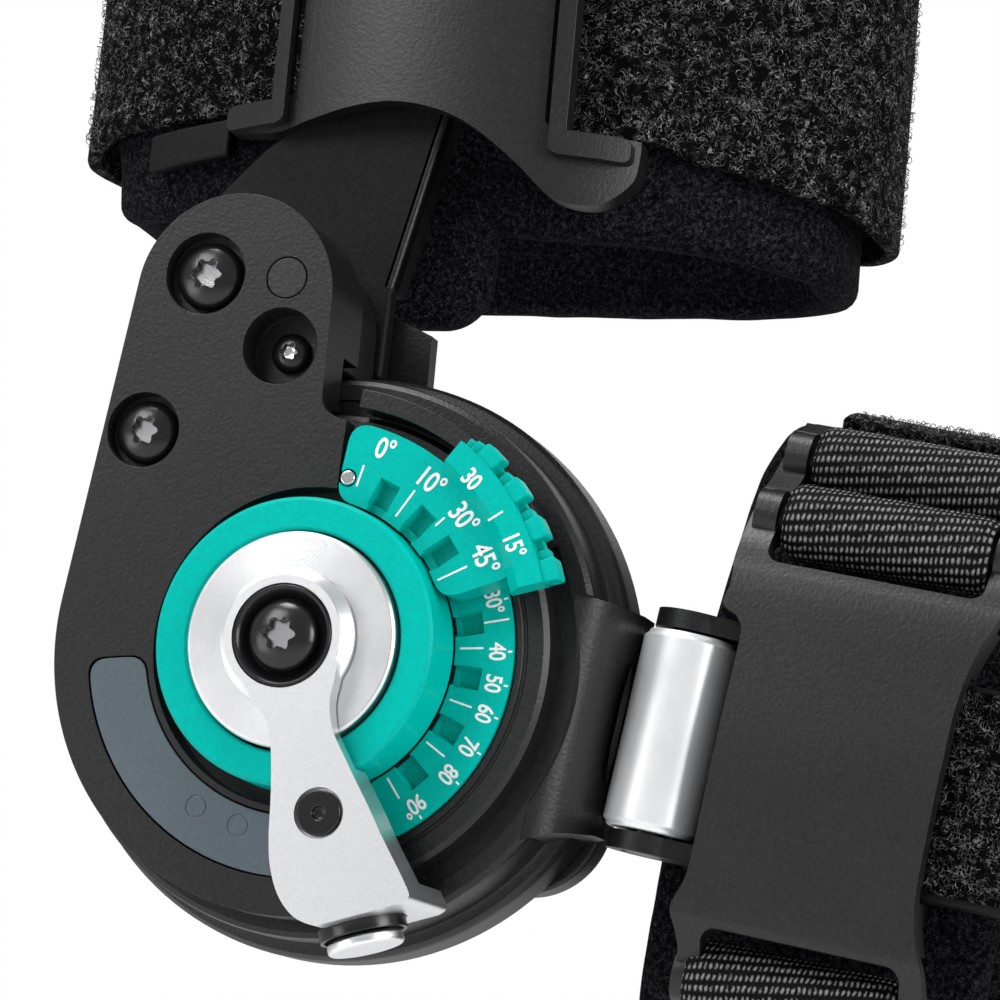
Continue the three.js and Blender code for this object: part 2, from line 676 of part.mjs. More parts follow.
// Adjustable stop with its ribbed grip.
function stopDial() {
  const back = LINK_FACE - LOW_DIAL_PROUD - RUN;
  const body = plate(sector(STOP_IN_R, STOP_OUT_R, STOP_FROM_DEG, STOP_TO_DEG, 2.4, 14), STOP_FACE, back);
  const grip = plate(
    sector(STOP_OUT_R - 1, GRIP_OUT_R, GRIP_FROM_DEG, GRIP_TO_DEG, 1, 10),
    GRIP_FACE,
    COVER_SETBACK + RIM_SETBACK - RUN,
  );
  const grooves = [];
  for (let i = 0; i < GRIP_RIBS - 1; i += 1) {
    const turn = GRIP_FROM_DEG + (GRIP_TO_DEG - GRIP_FROM_DEG) * (i + 1) / GRIP_RIBS;
    const groove = box(GRIP_OUT_R - 1.6, GRIP_OUT_R + 2, GRIP_FACE - 1, GRIP_FACE + 9, -0.9, 0.9);
    grooves.push(groove.rotate([0, -turn, 0]));
  }
  const middle = STOP_IN_R + WELL_SIZE / 2 + 0.6;
  const wells = scaleWells(STOP_FROM_DEG + 14, STOP_TO_DEG - 14, 3, middle, STOP_FACE);
  const [pinX, pinZ] = polar(STOP_IN_R + 2.6, STOP_TO_DEG - 2.6);
  const pinHole = plate(disc(pinX, pinZ, STOP_PIN_R + FIT, 12), STOP_FACE - 1, STOP_FACE + 1.6);
  return cut(join(body, grip), ...grooves, ...wells, pinHole);
}
addPiece(upper, 'stop_dial', stopDial(), TEAL());

function stopPin() {
  const [pinX, pinZ] = polar(STOP_IN_R + 2.6, STOP_TO_DEG - 2.6);
  return plate(disc(pinX, pinZ, STOP_PIN_R, 12), STOP_FACE - 0.2, STOP_FACE + 1.6 - FIT);
}
addPiece(upper, 'stop_pin', stopPin(), SILVER());

// Lock lever, drawn pointing along +X and turned to its rest direction

// Half widths of the lever's arm along its length, as shares of that length: left and right side.
const LEVER_ROWS = [
  { along: 0.20, left: 0.060, right: 0.075 },
  { along: 0.33, left: 0.118, right: 0.105 },
  { along: 0.45, left: 0.130, right: 0.130 },
  { along: 0.60, left: 0.160, right: 0.155 },
  { along: 0.75, left: 0.195, right: 0.200 },
  { along: 0.88, left: 0.195, right: 0.235 },
  { along: 0.97, left: 0.150, right: 0.250 },
  { along: 1.00, left: 0.100, right: 0.225 },
];

const COLLAR_SEAT = LEVER_LENGTH - 0.6;

function lever() {
  const face = -LEVER_PROUD;
  const ring = turned([
    [DISH_R + FIT, -FIT], [LEVER_FOOT_R, -FIT], [LEVER_FOOT_R - 0.2, -FIT - 0.4], [LEVER_RING_R, face + 0.3],
    [LEVER_RING_R - 0.3, face], [DISH_R + FIT, face], [DISH_R + FIT, -FIT],
  ], 36);
  const outline = [
    ...LEVER_ROWS.map((row) => [row.along * LEVER_LENGTH, -row.left * LEVER_LENGTH]),
    ...LEVER_ROWS.map((row) => [row.along * LEVER_LENGTH, row.right * LEVER_LENGTH]).reverse(),
  ];
  const arm = cut(
    plate(outline, face, LEVER_BELLY),
    drum(RING_R + RUN, -FIT, LEVER_BELLY + 1, 36),
    drum(DISH_R + FIT, face - 1, LEVER_BELLY, 36),
    plate(disc(LEVER_SCREW_AT, 0, LEVER_SCREW_R + FIT), face - 1, face + 1.2),
  );
  const block = plate(sector(COVER_R + RUN, LEVER_LENGTH + 0.6, -10, 15, 0, 6), face + 0.8, BAND_FACE - RUN);
  const room = BUTTON_R + COLLAR_WALL + FIT;
  const collarRoom = lengthwise(disc(BUTTON_D, 0, room), COLLAR_SEAT, LEVER_LENGTH + 4);
  return cut(join(ring, arm, block), collarRoom);
}

// Turns a piece drawn along +X to the lever's direction.
const toLever = (solid) => solid.rotate([0, -LEVER_DEG, 0]);

addPiece(upper, 'lever', toLever(lever()), SILVER());
addPiece(
  upper,
  'lever_screw',
  toLever(cut(
    plate(disc(LEVER_SCREW_AT, 0, LEVER_SCREW_R), -LEVER_PROUD - 0.1, -LEVER_PROUD + 1.2 - FIT),
    plate(lobedSocket(LEVER_SCREW_AT, 0, LEVER_SCREW_R * 0.4), -LEVER_PROUD - 1, -LEVER_PROUD + 0.5),
  )),
  STEEL(),
);

function buttonCollar() {
  const from = COLLAR_SEAT + FIT;
  const outer = lengthwise(disc(BUTTON_D, 0, BUTTON_R + COLLAR_WALL), from, LEVER_LENGTH + 1.3);
  return outer.subtract(lengthwise(disc(BUTTON_D, 0, BUTTON_R + 0.1), from + 0.5, LEVER_LENGTH + 4));
}
addPiece(upper, 'button_collar', toLever(buttonCollar()), STEEL());

const BUTTON_FOOT = COLLAR_SEAT + FIT + 0.5 + BUTTON_TRAVEL + 0.1;
addPiece(
  upper,
  'lever_button',
  toLever(lengthwise(disc(BUTTON_D, 0, BUTTON_R), BUTTON_FOOT, BUTTON_FOOT + 1.4)),
  SILVER(),
);

// Upper bar and back plate

function upperBar() {
  const foot = FLANGE_R + FLANGE_STEP;
  const top = SHELL_TOP - BAR_WALL;
  const outline = [
    [BAR_FOOT_LEFT, foot], [BAR_FOOT_RIGHT, foot], [BAR_FOOT_RIGHT + FIT, foot + BAR_FOOT_HIGH],
    [BAR_RIGHT, BAR_STRAIGHT_FRONT], [BAR_RIGHT, top - BAR_WALL], [BAR_RIGHT - BAR_WALL, top],
    [BAR_LEFT + BAR_WALL, top], [BAR_LEFT, top - BAR_WALL], [BAR_LEFT, BAR_STRAIGHT_REAR],
    [BAR_FOOT_LEFT - RUN, BAR_NARROWS],
  ];
  return plate(outline, BAR_SETBACK, BAR_SETBACK + BAR_WALL);
}
addPiece(upper, 'upper_bar', upperBar(), BLACK());

function backPlate() {
  const tail = [
    [TAIL_LEFT, 0], [BAR_RIGHT, 0], [BAR_RIGHT, TAIL_SHOULDER],
    [TAIL_NECK, TAIL_SHOULDER + BAR_WALL], [TAIL_NECK, TAIL_TOP], [TAIL_LEFT, TAIL_TOP],
  ];
  const body = join(
    drum(BACK_DISC_R, BACK_FACE, BACK_END, 32),
    plate(tail, BACK_FACE, BACK_END),
  );
  return body.subtract(drum(PIVOT_R + FIT, BACK_FACE - 1, BACK_END + 1, 20));
}
addPiece(upper, 'hinge_back_plate', backPlate(), BLACK());

// Upper shell: a bent plate with an arched lower edge, a strap slot on each side and an ear

const SHELL_CENTRE_D = SHELL_FACE + SHELL_BEND_R;
const SLOT_LOW = UPPER_STRAP_LOW;
const SLOT_HIGH = UPPER_STRAP_LOW + UPPER_STRAP_WIDTH + UPPER_PAD;
const SIDE_BAR_IN = SHELL_HALF + 1.0;
const SIDE_BAR_OUT = SIDE_BAR_IN + 1.8;

// Lower edge of the shell from the rear ear to the forward ear: X as a share of the ear's reach,
// and the height above the pivot as a share of the slot's foot.
const ARCH_ROWS = [
  { across: -0.98, height: 0.955 },
  { across: -0.70, height: 0.968 },
  { across: -0.52, height: 1.004 },
  { across: -0.30, height: 1.028 },
  { across: -0.08, height: 1.034 },
  { across: 0.14, height: 1.020 },
  { across: 0.32, height: 0.988 },
  { across: 0.50, height: 0.930 },
  { across: 0.66, height: 0.872 },
  { across: 0.84, height: 0.872 },
  { across: 0.98, height: 0.925 },
  { across: 1.00, height: 0.975 },
];

function bentSheet(bendRadius, thickness, low, high, halfWidth) {
  const lean = Math.asin(halfWidth / bendRadius) * 180 / Math.PI;
  const outline = [
    ...arc(0, SHELL_CENTRE_D, bendRadius, -90 - lean, -90 + lean, 20),
    ...arc(0, SHELL_CENTRE_D, bendRadius - thickness, -90 + lean, -90 - lean, 20),
  ];
  return upright(outline, low, high);
}

function upperShell() {
  const sheet = bentSheet(SHELL_BEND_R, SHELL_WALL, TAB_LOW, SHELL_TOP + 2, EAR_REACH + 6);
  const outline = [
    ...ARCH_ROWS.map((row) => [row.across * EAR_REACH, row.height * SLOT_LOW]),
    [EAR_REACH, SLOT_LOW], [SHELL_HALF, SLOT_LOW], [SHELL_HALF, SLOT_HIGH], [EAR_REACH, SLOT_HIGH],
    [EAR_REACH - 2, SHELL_TOP - 3], [SHELL_HALF, SHELL_TOP], [-SHELL_HALF, SHELL_TOP],
    [-EAR_REACH + 2, SHELL_TOP - 3], [-EAR_REACH, SLOT_HIGH], [-SHELL_HALF, SLOT_HIGH],
    [-SHELL_HALF, SLOT_LOW], [-EAR_REACH, SLOT_LOW],
  ];
  const skin = sheet.intersect(plate(outline, SHELL_FACE - 2, SHELL_CENTRE_D));
  const guides = [
    [BAR_LEFT - FIT - GUIDE_WALL, BAR_LEFT - FIT],
    [BAR_RIGHT + FIT, BAR_RIGHT + FIT + GUIDE_WALL],
  ];
  const rails = guides.map(([left, right]) => (
    box(left, right, SHELL_FACE + 2.4, BAR_SETBACK + BAR_WALL, SLOT_LOW + 6, SHELL_TOP - 6)
  ));
  return join(skin, ...rails);
}
addPiece(upper, 'upper_shell', upperShell(), BLACK());

// Side bars that close the strap slots: an upright strip with a foot and a head on the ears.
function sideBar(side) {
  const raised = 1.4;
  const sheet = bentSheet(SHELL_BEND_R + raised + FIT, raised, SLOT_LOW - 6, SLOT_HIGH + 6, EAR_REACH + 2);
  const outlines = [
    roundedBox(SIDE_BAR_IN, SIDE_BAR_OUT, SLOT_LOW - 3.2, SLOT_HIGH + 3.2, 0.8),
    roundedBox(SIDE_BAR_IN, EAR_REACH - 1, SLOT_LOW - 3.2, SLOT_LOW - 0.4, 0.8),
    roundedBox(SIDE_BAR_IN, EAR_REACH - 1, SLOT_HIGH + 0.4, SLOT_HIGH + 3.2, 0.8),
  ];
  const front = join(...outlines.map((points) => plate(points, SHELL_FACE - 3, SHELL_CENTRE_D)));
  const bar = sheet.intersect(front);
  return side > 0 ? bar : bar.mirror([1, 0, 0]);
}
addPiece(upper, 'side_bar_front', sideBar(1), BLACK());
addPiece(upper, 'side_bar_rear', sideBar(-1), BLACK());

// Upper cuff: strap and padded wrap

const placeUpper = (u, v, w) => (
  new THREE.Vector3(UPPER_CENTRE_X + (u < 0 ? u * UPPER_REAR : u), UPPER_CENTRE_D + v, w)
);

// Heights round the oval, in degrees from its forward end: the strap's lower edge as a share of its
// width, and the pad's as a share of the pad's height. The back is at 90, the hinge at 270.
const STRAP_LINE = [
  [-66, 0.006], [-57, -0.042], [-30, -0.104], [0, -0.142], [90, -0.042], [180, 0.019], [240, 0.075],
  [255, 0.096],
];
const PAD_LINE = [
  [0, -0.023], [90, 0.003], [180, 0.046], [255, 0.038], [290, 0.013], [330, -0.013], [360, -0.023],
];

// Height on such a line at a turn in radians.
function along(line, turn) {
  const degrees = turn * 180 / Math.PI;
  const next = Math.max(1, line.findIndex(([at], i) => at >= degrees || i === line.length - 1));
  const [from, low] = line[next - 1];
  const [to, high] = line[next];
  const share = Math.min(1, Math.max(0, (degrees - from) / (to - from)));
  return low + (high - low) * share;
}

// The strap leaves the slots on the hinge side, so it stays open there.
const UPPER_GAP = Math.acos((SHELL_HALF - UPPER_CENTRE_X) / UPPER_HALF_X);
addPiece(
  upper,
  'upper_strap',
  wall({
    halfU: UPPER_HALF_X,
    halfV: UPPER_HALF_Y,
    power: UPPER_POWER,
    inner: FIT,
    outer: FIT + STRAP_WALL,
    from: -UPPER_GAP,
    to: Math.PI + UPPER_GAP,
    steps: 48,
    low: (turn) => UPPER_STRAP_LOW + UPPER_STRAP_WIDTH * along(STRAP_LINE, turn),
    high: (turn) => UPPER_STRAP_LOW + UPPER_STRAP_WIDTH * (1 + along(STRAP_LINE, turn)),
    round: 0,
    place: placeUpper,
  }),
  WEBBING(),
);

function upperPad() {
  const ring = wall({
    halfU: UPPER_HALF_X,
    halfV: UPPER_HALF_Y,
    power: UPPER_POWER,
    inner: -UPPER_PAD,
    outer: 0,
    from: 0,
    to: Math.PI * 2,
    steps: 48,
    low: (turn) => UPPER_PAD_LOW + (UPPER_PAD_HIGH - UPPER_PAD_LOW) * along(PAD_LINE, turn),
    high: () => UPPER_PAD_HIGH,
    round: 1.5,
    place: placeUpper,
  });
  const flap = roundedBox(TAB_LEFT, TAB_RIGHT, TAB_LOW, UPPER_PAD_LOW + 8, UPPER_PAD);
  const tab = plate(flap, UPPER_FACE, UPPER_FACE + UPPER_PAD);
  return join(ring, tab);
}
addPiece(upper, 'upper_pad', upperPad(), CLOTH());

// Forearm bar with the ears that turn on the barrel's pin

function forearmBar() {
  const back = FORE_PAD_FACE - FIT;
  const start = BARREL_A + BARREL_R + 2.6;
  const body = box(start, FORE_BAR_END, FORE_BAR_FACE, back, -FORE_BAR_HALF, FORE_BAR_HALF);
  const ends = [];
  [[-EAR_IN - EAR_WALL, -EAR_IN], [EAR_IN, EAR_IN + EAR_WALL]].forEach(([low, high]) => {
    const eye = upright(disc(BARREL_A, BARREL_D, BARREL_R - 1), low, high);
    const web = [
      [BARREL_A, BARREL_D - BARREL_R + 1], [start + 3, FORE_BAR_FACE],
      [start + 3, back], [BARREL_A, BARREL_D + BARREL_R - 1],
    ];
    const hole = upright(disc(BARREL_A, BARREL_D, BARREL_PIN_R + FIT), low - 1, high + 1);
    ends.push(join(eye, upright(web, low, high)).subtract(hole));
  });
  const round = box(FORE_BAR_END - 5, FORE_BAR_END + 1, 0, 60, -FORE_BAR_HALF - 1, FORE_BAR_HALF + 1)
    .subtract(plate(roundedBox(FORE_BAR_END - 20, FORE_BAR_END, -FORE_BAR_HALF, FORE_BAR_HALF, 5), -1, 61));
  return join(body.subtract(round), ...ends);
}
addPiece(forearm, 'forearm_bar', forearmBar(), BLACK());

// Loop fabric on the bar's face.
addPiece(
  forearm,
  'bar_fabric',
  box(
    BARREL_A + BARREL_R + 4,
    FORE_BAR_END - 2,
    FORE_BAR_FACE - FIT - FABRIC_WALL,
    FORE_BAR_FACE - FIT,
    -FORE_BAR_HALF + 0.6,
    FORE_BAR_HALF - 0.6,
  ),
  WEBBING(),
);

// Forearm shell: a saddle across the bar, with rails that bend back to the webbing's rods

// Section of the shell: B across the forearm as a share of the pad's half height,
// and depth behind the shell's face as a share of the pad's half depth.
const SHELL_ROWS = [
  { across: -0.72, behind: 0.49 },
  { across: -0.66, behind: 0.34 },
  { across: -0.56, behind: 0.16 },
  { across: -0.44, behind: 0.055 },
  { across: -0.22, behind: 0.014 },
  { across: 0, behind: 0 },
  { across: 0.22, behind: 0.012 },
  { across: 0.44, behind: 0.05 },
  { across: 0.56, behind: 0.13 },
  { across: 0.68, behind: 0.29 },
  { across: 0.76, behind: 0.44 },
  { across: 0.86, behind: 0.62 },
  { across: 0.94, behind: 0.80 },
];
const ROD_ROWS = [
  { name: 'elastic_upper_front', across: 0.62, behind: 0.255 },
  { name: 'elastic_upper_rear', across: 0.815, behind: 0.56 },
  { name: 'elastic_lower', across: -0.60, behind: 0.30 },
];
const toSection = (row) => [FORE_SHELL_FACE + row.behind * FORE_HALF_D, row.across * FORE_HALF_B];

function shellSection(thickness) {
  const outer = SHELL_ROWS.map(toSection);
  const inner = outer.map((point, i) => {
    const before = outer[Math.max(i - 1, 0)];
    const after = outer[Math.min(i + 1, outer.length - 1)];
    const run = Math.hypot(after[0] - before[0], after[1] - before[1]);
    const shift = thickness / run;
    return [point[0] + shift * (after[1] - before[1]), point[1] - shift * (after[0] - before[0])];
  });
  return [...outer, ...inner.reverse()];
}

function forearmShell() {
  const left = CUFF_A - FORE_SHELL_HALF;
  const right = CUFF_A + FORE_SHELL_HALF;
  const edge = FORE_HALF_B * 0.48;
  const window = WEB_WIDTH / 2 + 0.6;
  const waist = FORE_WAIST;
  const top = FORE_HALF_B * 0.95;
  const outline = [
    [left + 0.6, -top], [right - 0.6, -top], [right, -edge], [CUFF_A + waist + 1.6, -edge * 0.8],
    [CUFF_A + waist, -edge * 0.45], [CUFF_A + waist, edge * 0.5], [CUFF_A + waist + 1.2, edge * 0.75],
    [right, edge], [right, top], [left, top], [left, edge * 0.72], [CUFF_A - waist - 0.4, edge * 0.66],
    [CUFF_A - waist - 0.6, -edge * 0.7], [left + 1.2, -edge * 0.9],
  ];
  const windows = [[edge + 0.4, top + 1], [-top - 1, -edge + 0.6]].map(([low, high]) => (
    plate(roundedBox(CUFF_A - window, CUFF_A + window, low, high, 1.4), 0, FORE_CENTRE_D)
  ));
  const skin = lengthwise(shellSection(FORE_SHELL_WALL), left, right)
    .intersect(plate(outline, 0, FORE_CENTRE_D));
  const rods = ROD_ROWS.map((row) => {
    const [depth, across] = toSection(row);
    return lengthwise(disc(depth, across, ROD_R, 10), left + 1.6, right - 1.6);
  });
  const cheeks = ROD_ROWS.flatMap((row) => {
    const [depth, across] = toSection(row);
    return [[left + 0.6, CUFF_A - window], [CUFF_A + window, right - 0.6]].map(([from, to]) => (
      lengthwise(disc(depth, across, ROD_R + 1.4, 12), from, to)
    ));
  });
  const guideIn = FORE_BAR_HALF + FIT;
  const guides = [[-guideIn - 2, -guideIn], [guideIn, guideIn + 2]].map(([low, high]) => (
    box(CUFF_A - waist + 5, CUFF_A + waist - 0.6, FORE_SHELL_FACE + 1.4, FORE_PAD_FACE - FIT, low, high)
  ));
  return join(cut(skin, ...windows), ...rods, ...cheeks, ...guides);
}
addPiece(forearm, 'forearm_shell', forearmShell(), BLACK());

// Elastic webbing rolled round the shell's rods.
ROD_ROWS.forEach((row) => {
  const [depth, across] = toSection(row);
  const outer = lengthwise(disc(depth, across, ROLL_R), CUFF_A - WEB_WIDTH / 2, CUFF_A + WEB_WIDTH / 2);
  const bore = lengthwise(disc(depth, across, ROLL_R - ROLL_WALL, 12), 0, FORE_BAR_END);
  addPiece(forearm, row.name, outer.subtract(bore), WEBBING());
});

// Forearm cuff: strap and padded wrap round the forearm's axis

const placeFore = (u, v, w) => new THREE.Vector3(w, FORE_CENTRE_D + v, u);

addPiece(
  forearm,
  'forearm_strap',
  wall({
    halfU: FORE_HALF_B,
    halfV: FORE_HALF_D,
    power: FORE_POWER,
    inner: FIT,
    outer: FIT + STRAP_WALL,
    from: -0.36,
    to: Math.PI + 0.62,
    steps: 40,
    low: () => CUFF_A - FORE_STRAP_WIDTH / 2,
    high: () => CUFF_A + FORE_STRAP_WIDTH / 2,
    round: 0,
    place: placeFore,
  }),
  WEBBING(),
);

addPiece(
  forearm,
  'forearm_pad',
  wall({
    halfU: FORE_HALF_B,
    halfV: FORE_HALF_D,
    power: FORE_POWER,
    inner: -FORE_PAD,
    outer: 0,
    from: 0,
    to: Math.PI * 2,
    steps: 48,
    low: () => CUFF_A - FORE_PAD_HALF,
    high: () => CUFF_A + FORE_PAD_HALF,
    round: 1.5,
    place: placeFore,
  }),
  CLOTH(),
);

export default model;
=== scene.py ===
# %% [markdown]
# # Elbow brace
#
# This lesson dresses a hinged elbow brace. The frame holds every rigid part at its real size, and each
# cell below makes one piece or one finish on top of it. Lengths are written in millimetres, measured
# from the hinge: across, depth behind the silver disc's face, and height above the pivot.

# %% Load the frame
import json
import math
import bpy
from mathutils import Matrix, Vector


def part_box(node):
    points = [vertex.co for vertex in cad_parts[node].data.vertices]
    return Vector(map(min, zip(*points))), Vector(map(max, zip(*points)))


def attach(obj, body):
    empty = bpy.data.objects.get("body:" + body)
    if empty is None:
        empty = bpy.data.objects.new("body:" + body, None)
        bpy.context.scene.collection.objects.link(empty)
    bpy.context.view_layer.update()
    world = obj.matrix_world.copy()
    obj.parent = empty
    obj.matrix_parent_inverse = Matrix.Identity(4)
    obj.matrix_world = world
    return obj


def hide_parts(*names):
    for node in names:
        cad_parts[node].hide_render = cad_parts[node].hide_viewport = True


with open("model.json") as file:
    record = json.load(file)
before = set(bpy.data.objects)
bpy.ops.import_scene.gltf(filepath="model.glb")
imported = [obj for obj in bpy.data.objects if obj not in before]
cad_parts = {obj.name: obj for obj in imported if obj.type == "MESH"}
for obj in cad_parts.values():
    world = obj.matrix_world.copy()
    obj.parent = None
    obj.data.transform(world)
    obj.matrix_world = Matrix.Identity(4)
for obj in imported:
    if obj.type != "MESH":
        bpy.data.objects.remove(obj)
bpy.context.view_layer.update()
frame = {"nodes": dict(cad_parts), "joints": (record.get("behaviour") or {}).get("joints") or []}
print("frame nodes:", len(frame["nodes"]))

# %% [markdown]
# Every piece hangs on a few places: the pivot, the disc's face and the forearm's slope. They are read
# from the joints and from one node, so a piece always lands on the part that carries it.

# %% Hinge and forearm places
joint = {j["name"]: j for j in frame["joints"]}
PIVOT = Vector(joint["elbow_hinge"]["pos_m"])
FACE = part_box("silver_disc")[0][1]
slope = Vector(joint["cuff_swivel"]["axis"])
DROP = math.atan2(slope.x, slope.z)
MM = 0.001


def hinge(across, depth, height):
    """A point given from the hinge in millimetres, in the frame's metres."""
    return Vector((PIVOT.x + across * MM, FACE + depth * MM, PIVOT.z + height * MM))


def fore(along, depth, up):
    """A point given along the forearm from the pivot, in millimetres."""
    across = along * math.cos(DROP) + up * math.sin(DROP)
    height = -along * math.sin(DROP) + up * math.cos(DROP)
    return hinge(across, depth, height)


ALONG = (fore(1, 0, 0) - fore(0, 0, 0)) / MM
UP = (fore(0, 0, 1) - fore(0, 0, 0)) / MM
print("pivot", [round(v, 4) for v in PIVOT], "forearm drop", round(math.degrees(DROP), 2))

# %% [markdown]
# The photograph looks at the hinge from the right and a little from below. A camera is a place and
# three directions, so its matrix is written from those. A long lens keeps the brace free of
# distortion.

# %% Camera
RIGHT = Vector((0.95592, 0.27972, 0.08928))
CAMERA_UP = Vector((-0.03582, -0.19069, 0.98100))
BACK = Vector((0.29143, -0.94096, -0.17227))
EYE = Vector((0.1524, -0.4797, -0.1553))

bpy.ops.object.select_all(action="DESELECT")
bpy.ops.object.camera_add()
camera = bpy.context.active_object
camera.matrix_world = Matrix.Translation(EYE) @ Matrix((RIGHT, CAMERA_UP, BACK)).transposed().to_4x4()
camera.data.lens = 144
camera.data.sensor_width = 36
camera.data.clip_start = 0.01
bpy.context.scene.camera = camera
print("camera at", [round(v, 3) for v in EYE])

# %% [markdown]
# A plain pale floor lies under the brace, and five large soft lamps and a pale sky light it. Black
# plastic shows its form only through reflections, so the lamps are wide and stand where the bevels
# and the bent shell can mirror them.

# %% Floor and light
bpy.ops.object.select_all(action="DESELECT")
bpy.ops.mesh.primitive_plane_add(size=8, location=(0, 0, -0.32))
floor = bpy.context.active_object
floor.name = "floor"


def lamp(name, place, target, size, watts):
    """A soft square lamp that looks at a target."""
    bpy.ops.object.light_add(type="AREA", location=place)
    light = bpy.context.active_object
    light.name = name
    light.data.size = size
    light.data.energy = watts
    light.rotation_euler = (Vector(target) - Vector(place)).to_track_quat("-Z", "Y").to_euler()
    return light


lamp("key_lamp", (-0.45, -0.75, 0.50), (0, 0, -0.05), 0.45, 4.6)
lamp("side_lamp", (0.85, -0.30, 0.10), (0.03, 0, -0.08), 0.45, 5)
lamp("low_lamp", (-0.55, -0.55, -0.2), (0, 0, -0.1), 0.35, 1.2)
lamp("back_lamp", (-0.1, 0.9, 0.6), (0, 0, -0.05), 0.6, 1.8)
lamp("top_lamp", (-0.2, -0.25, 0.9), (0, 0, -0.05), 0.4, 6)

world = bpy.data.worlds.new("studio")
bpy.context.scene.world = world
world.use_nodes = True
sky = world.node_tree
seen = sky.nodes.new("ShaderNodeBackground")
seen.inputs["Color"].default_value = (1.0, 1.0, 1.0, 1)
seen.inputs["Strength"].default_value = 1.0
sky.nodes["Background"].inputs["Color"].default_value = (1.0, 1.0, 1.0, 1)
sky.nodes["Background"].inputs["Strength"].default_value = 0.40
path = sky.nodes.new("ShaderNodeLightPath")
choice = sky.nodes.new("ShaderNodeMixShader")
sky.links.new(path.outputs["Is Camera Ray"], choice.inputs["Fac"])
sky.links.new(sky.nodes["Background"].outputs["Background"], choice.inputs[1])
sky.links.new(seen.outputs["Background"], choice.inputs[2])
sky.links.new(choice.outputs["Shader"], sky.nodes["World Output"].inputs["Surface"])
bpy.context.scene.view_settings.view_transform = "Standard"

# %% [markdown]
# Finishes are node materials. Each starts from the Principled shader with its constants set, and a
# small chain of textures adds what the real surface has: moulded grain, turned rings, pile or weave.
# All but the knit read Object coordinates, so a pattern stays on its piece when the joints move.

# %% Helpers for finishes


def new_finish(name, color, roughness, metallic=0.0):
    """A material with its Principled shader and Object coordinates."""
    finish = bpy.data.materials.new(name)
    finish.use_nodes = True
    shader = finish.node_tree.nodes["Principled BSDF"]
    shader.inputs["Base Color"].default_value = (*color, 1)
    shader.inputs["Roughness"].default_value = roughness
    shader.inputs["Metallic"].default_value = metallic
    place = finish.node_tree.nodes.new("ShaderNodeTexCoord")
    return finish, shader, place.outputs["Object"]


def add_node(finish, kind, inputs=None, **settings):
    """A node with its settings and inputs: a socket is linked and a value is set."""
    node = finish.node_tree.nodes.new(kind)
    for key, value in settings.items():
        setattr(node, key, value)
    for key, value in (inputs or {}).items():
        if isinstance(value, bpy.types.NodeSocket):
            finish.node_tree.links.new(value, node.inputs[key])
        else:
            node.inputs[key].default_value = value
    return node


def ramp(finish, factor, low, high, start=0.3, end=0.7):
    """A colour that goes from low to high while factor goes from start to end."""
    node = add_node(finish, "ShaderNodeValToRGB", {"Fac": factor})
    node.color_ramp.elements[0].position = start
    node.color_ramp.elements[0].color = (*low, 1)
    node.color_ramp.elements[1].position = end
    node.color_ramp.elements[1].color = (*high, 1)
    return node.outputs["Color"]


def plug(finish, output, socket):
    finish.node_tree.links.new(output, socket)


def bump(finish, shader, height, strength, distance):
    """Lays a height on the shader as bump, over what is there already."""
    node = add_node(finish, "ShaderNodeBump", {"Height": height, "Strength": strength, "Distance": distance})
    before = shader.inputs["Normal"].links
    if before:
        plug(finish, before[0].from_socket, node.inputs["Normal"])
    plug(finish, node.outputs["Normal"], shader.inputs["Normal"])


print("helpers ready")

# %% [markdown]
# The brace's black plastic is moulded with a fine sandy grain that sparkles where light grazes it.
# A noise of about 0.4 mm gives the grain, and a much larger one lets the gloss drift a little, as
# handled plastic does.

# %% Moulded plastics


def moulded(name, dark, light, roughness, grain=2300, depth=0.00009, strength=0.45):
    """Moulded plastic: speckled colour, sandy bump and drifting gloss."""
    finish, shader, where = new_finish(name, light, roughness)
    sand = add_node(finish, "ShaderNodeTexNoise", {"Vector": where, "Scale": grain, "Detail": 2.0})
    plug(finish, ramp(finish, sand.outputs["Fac"], dark, light, 0.35, 0.75), shader.inputs["Base Color"])
    bump(finish, shader, sand.outputs["Fac"], strength, depth)
    drift = add_node(finish, "ShaderNodeTexNoise", {"Vector": where, "Scale": 60.0, "Detail": 1.0})
    gloss = add_node(finish, "ShaderNodeMapRange", {
        "Value": drift.outputs["Fac"], "To Min": roughness - 0.04, "To Max": roughness + 0.04})
    plug(finish, gloss.outputs["Result"], shader.inputs["Roughness"])
    return finish


BLACK = moulded("black_grained", (0.0025, 0.0025, 0.003), (0.010, 0.010, 0.011), 0.40)
SHELL_BLACK = moulded("shell_black", (0.003, 0.003, 0.0035), (0.011, 0.011, 0.012), 0.40, 2200)
# The matt black below is rougher and less glossy than the grained black. Its colour is also darker than that
# black's, as painted shade: it goes on the upper bar and the rear clip, which lie in shade.
MATT_SHADED_BLACK = moulded("matt_black_painted_shade", (0.002, 0.002, 0.0025), (0.008, 0.008, 0.009), 0.55)
TEAL = moulded("teal_moulded", (0.0, 0.40, 0.345), (0.0, 0.45, 0.39), 0.33, 1800, 0.00002, 0.15)
SLATE = moulded("slate_moulded", (0.085, 0.108, 0.128), (0.10, 0.125, 0.147), 0.26, 1800, 0.00002, 0.12)
PAINT = moulded("white_print", (0.80, 0.82, 0.82), (0.92, 0.93, 0.93), 0.4, 1800, 0.00001, 0.1)
for finish, gloss in ((BLACK, 0.42), (SHELL_BLACK, 0.5), (MATT_SHADED_BLACK, 0.16), (TEAL, 0.06)):
    finish.node_tree.nodes["Principled BSDF"].inputs["Specular IOR Level"].default_value = gloss
print("plastics: 6")

# %% [markdown]
# The metals differ by how they were worked. The lever is bead blasted, so it has a fine even frost.
# The disc and the barrel are turned on a lathe, so very fine rings run round their axis. The screws
# are blackened and glossier.

# %% Metals


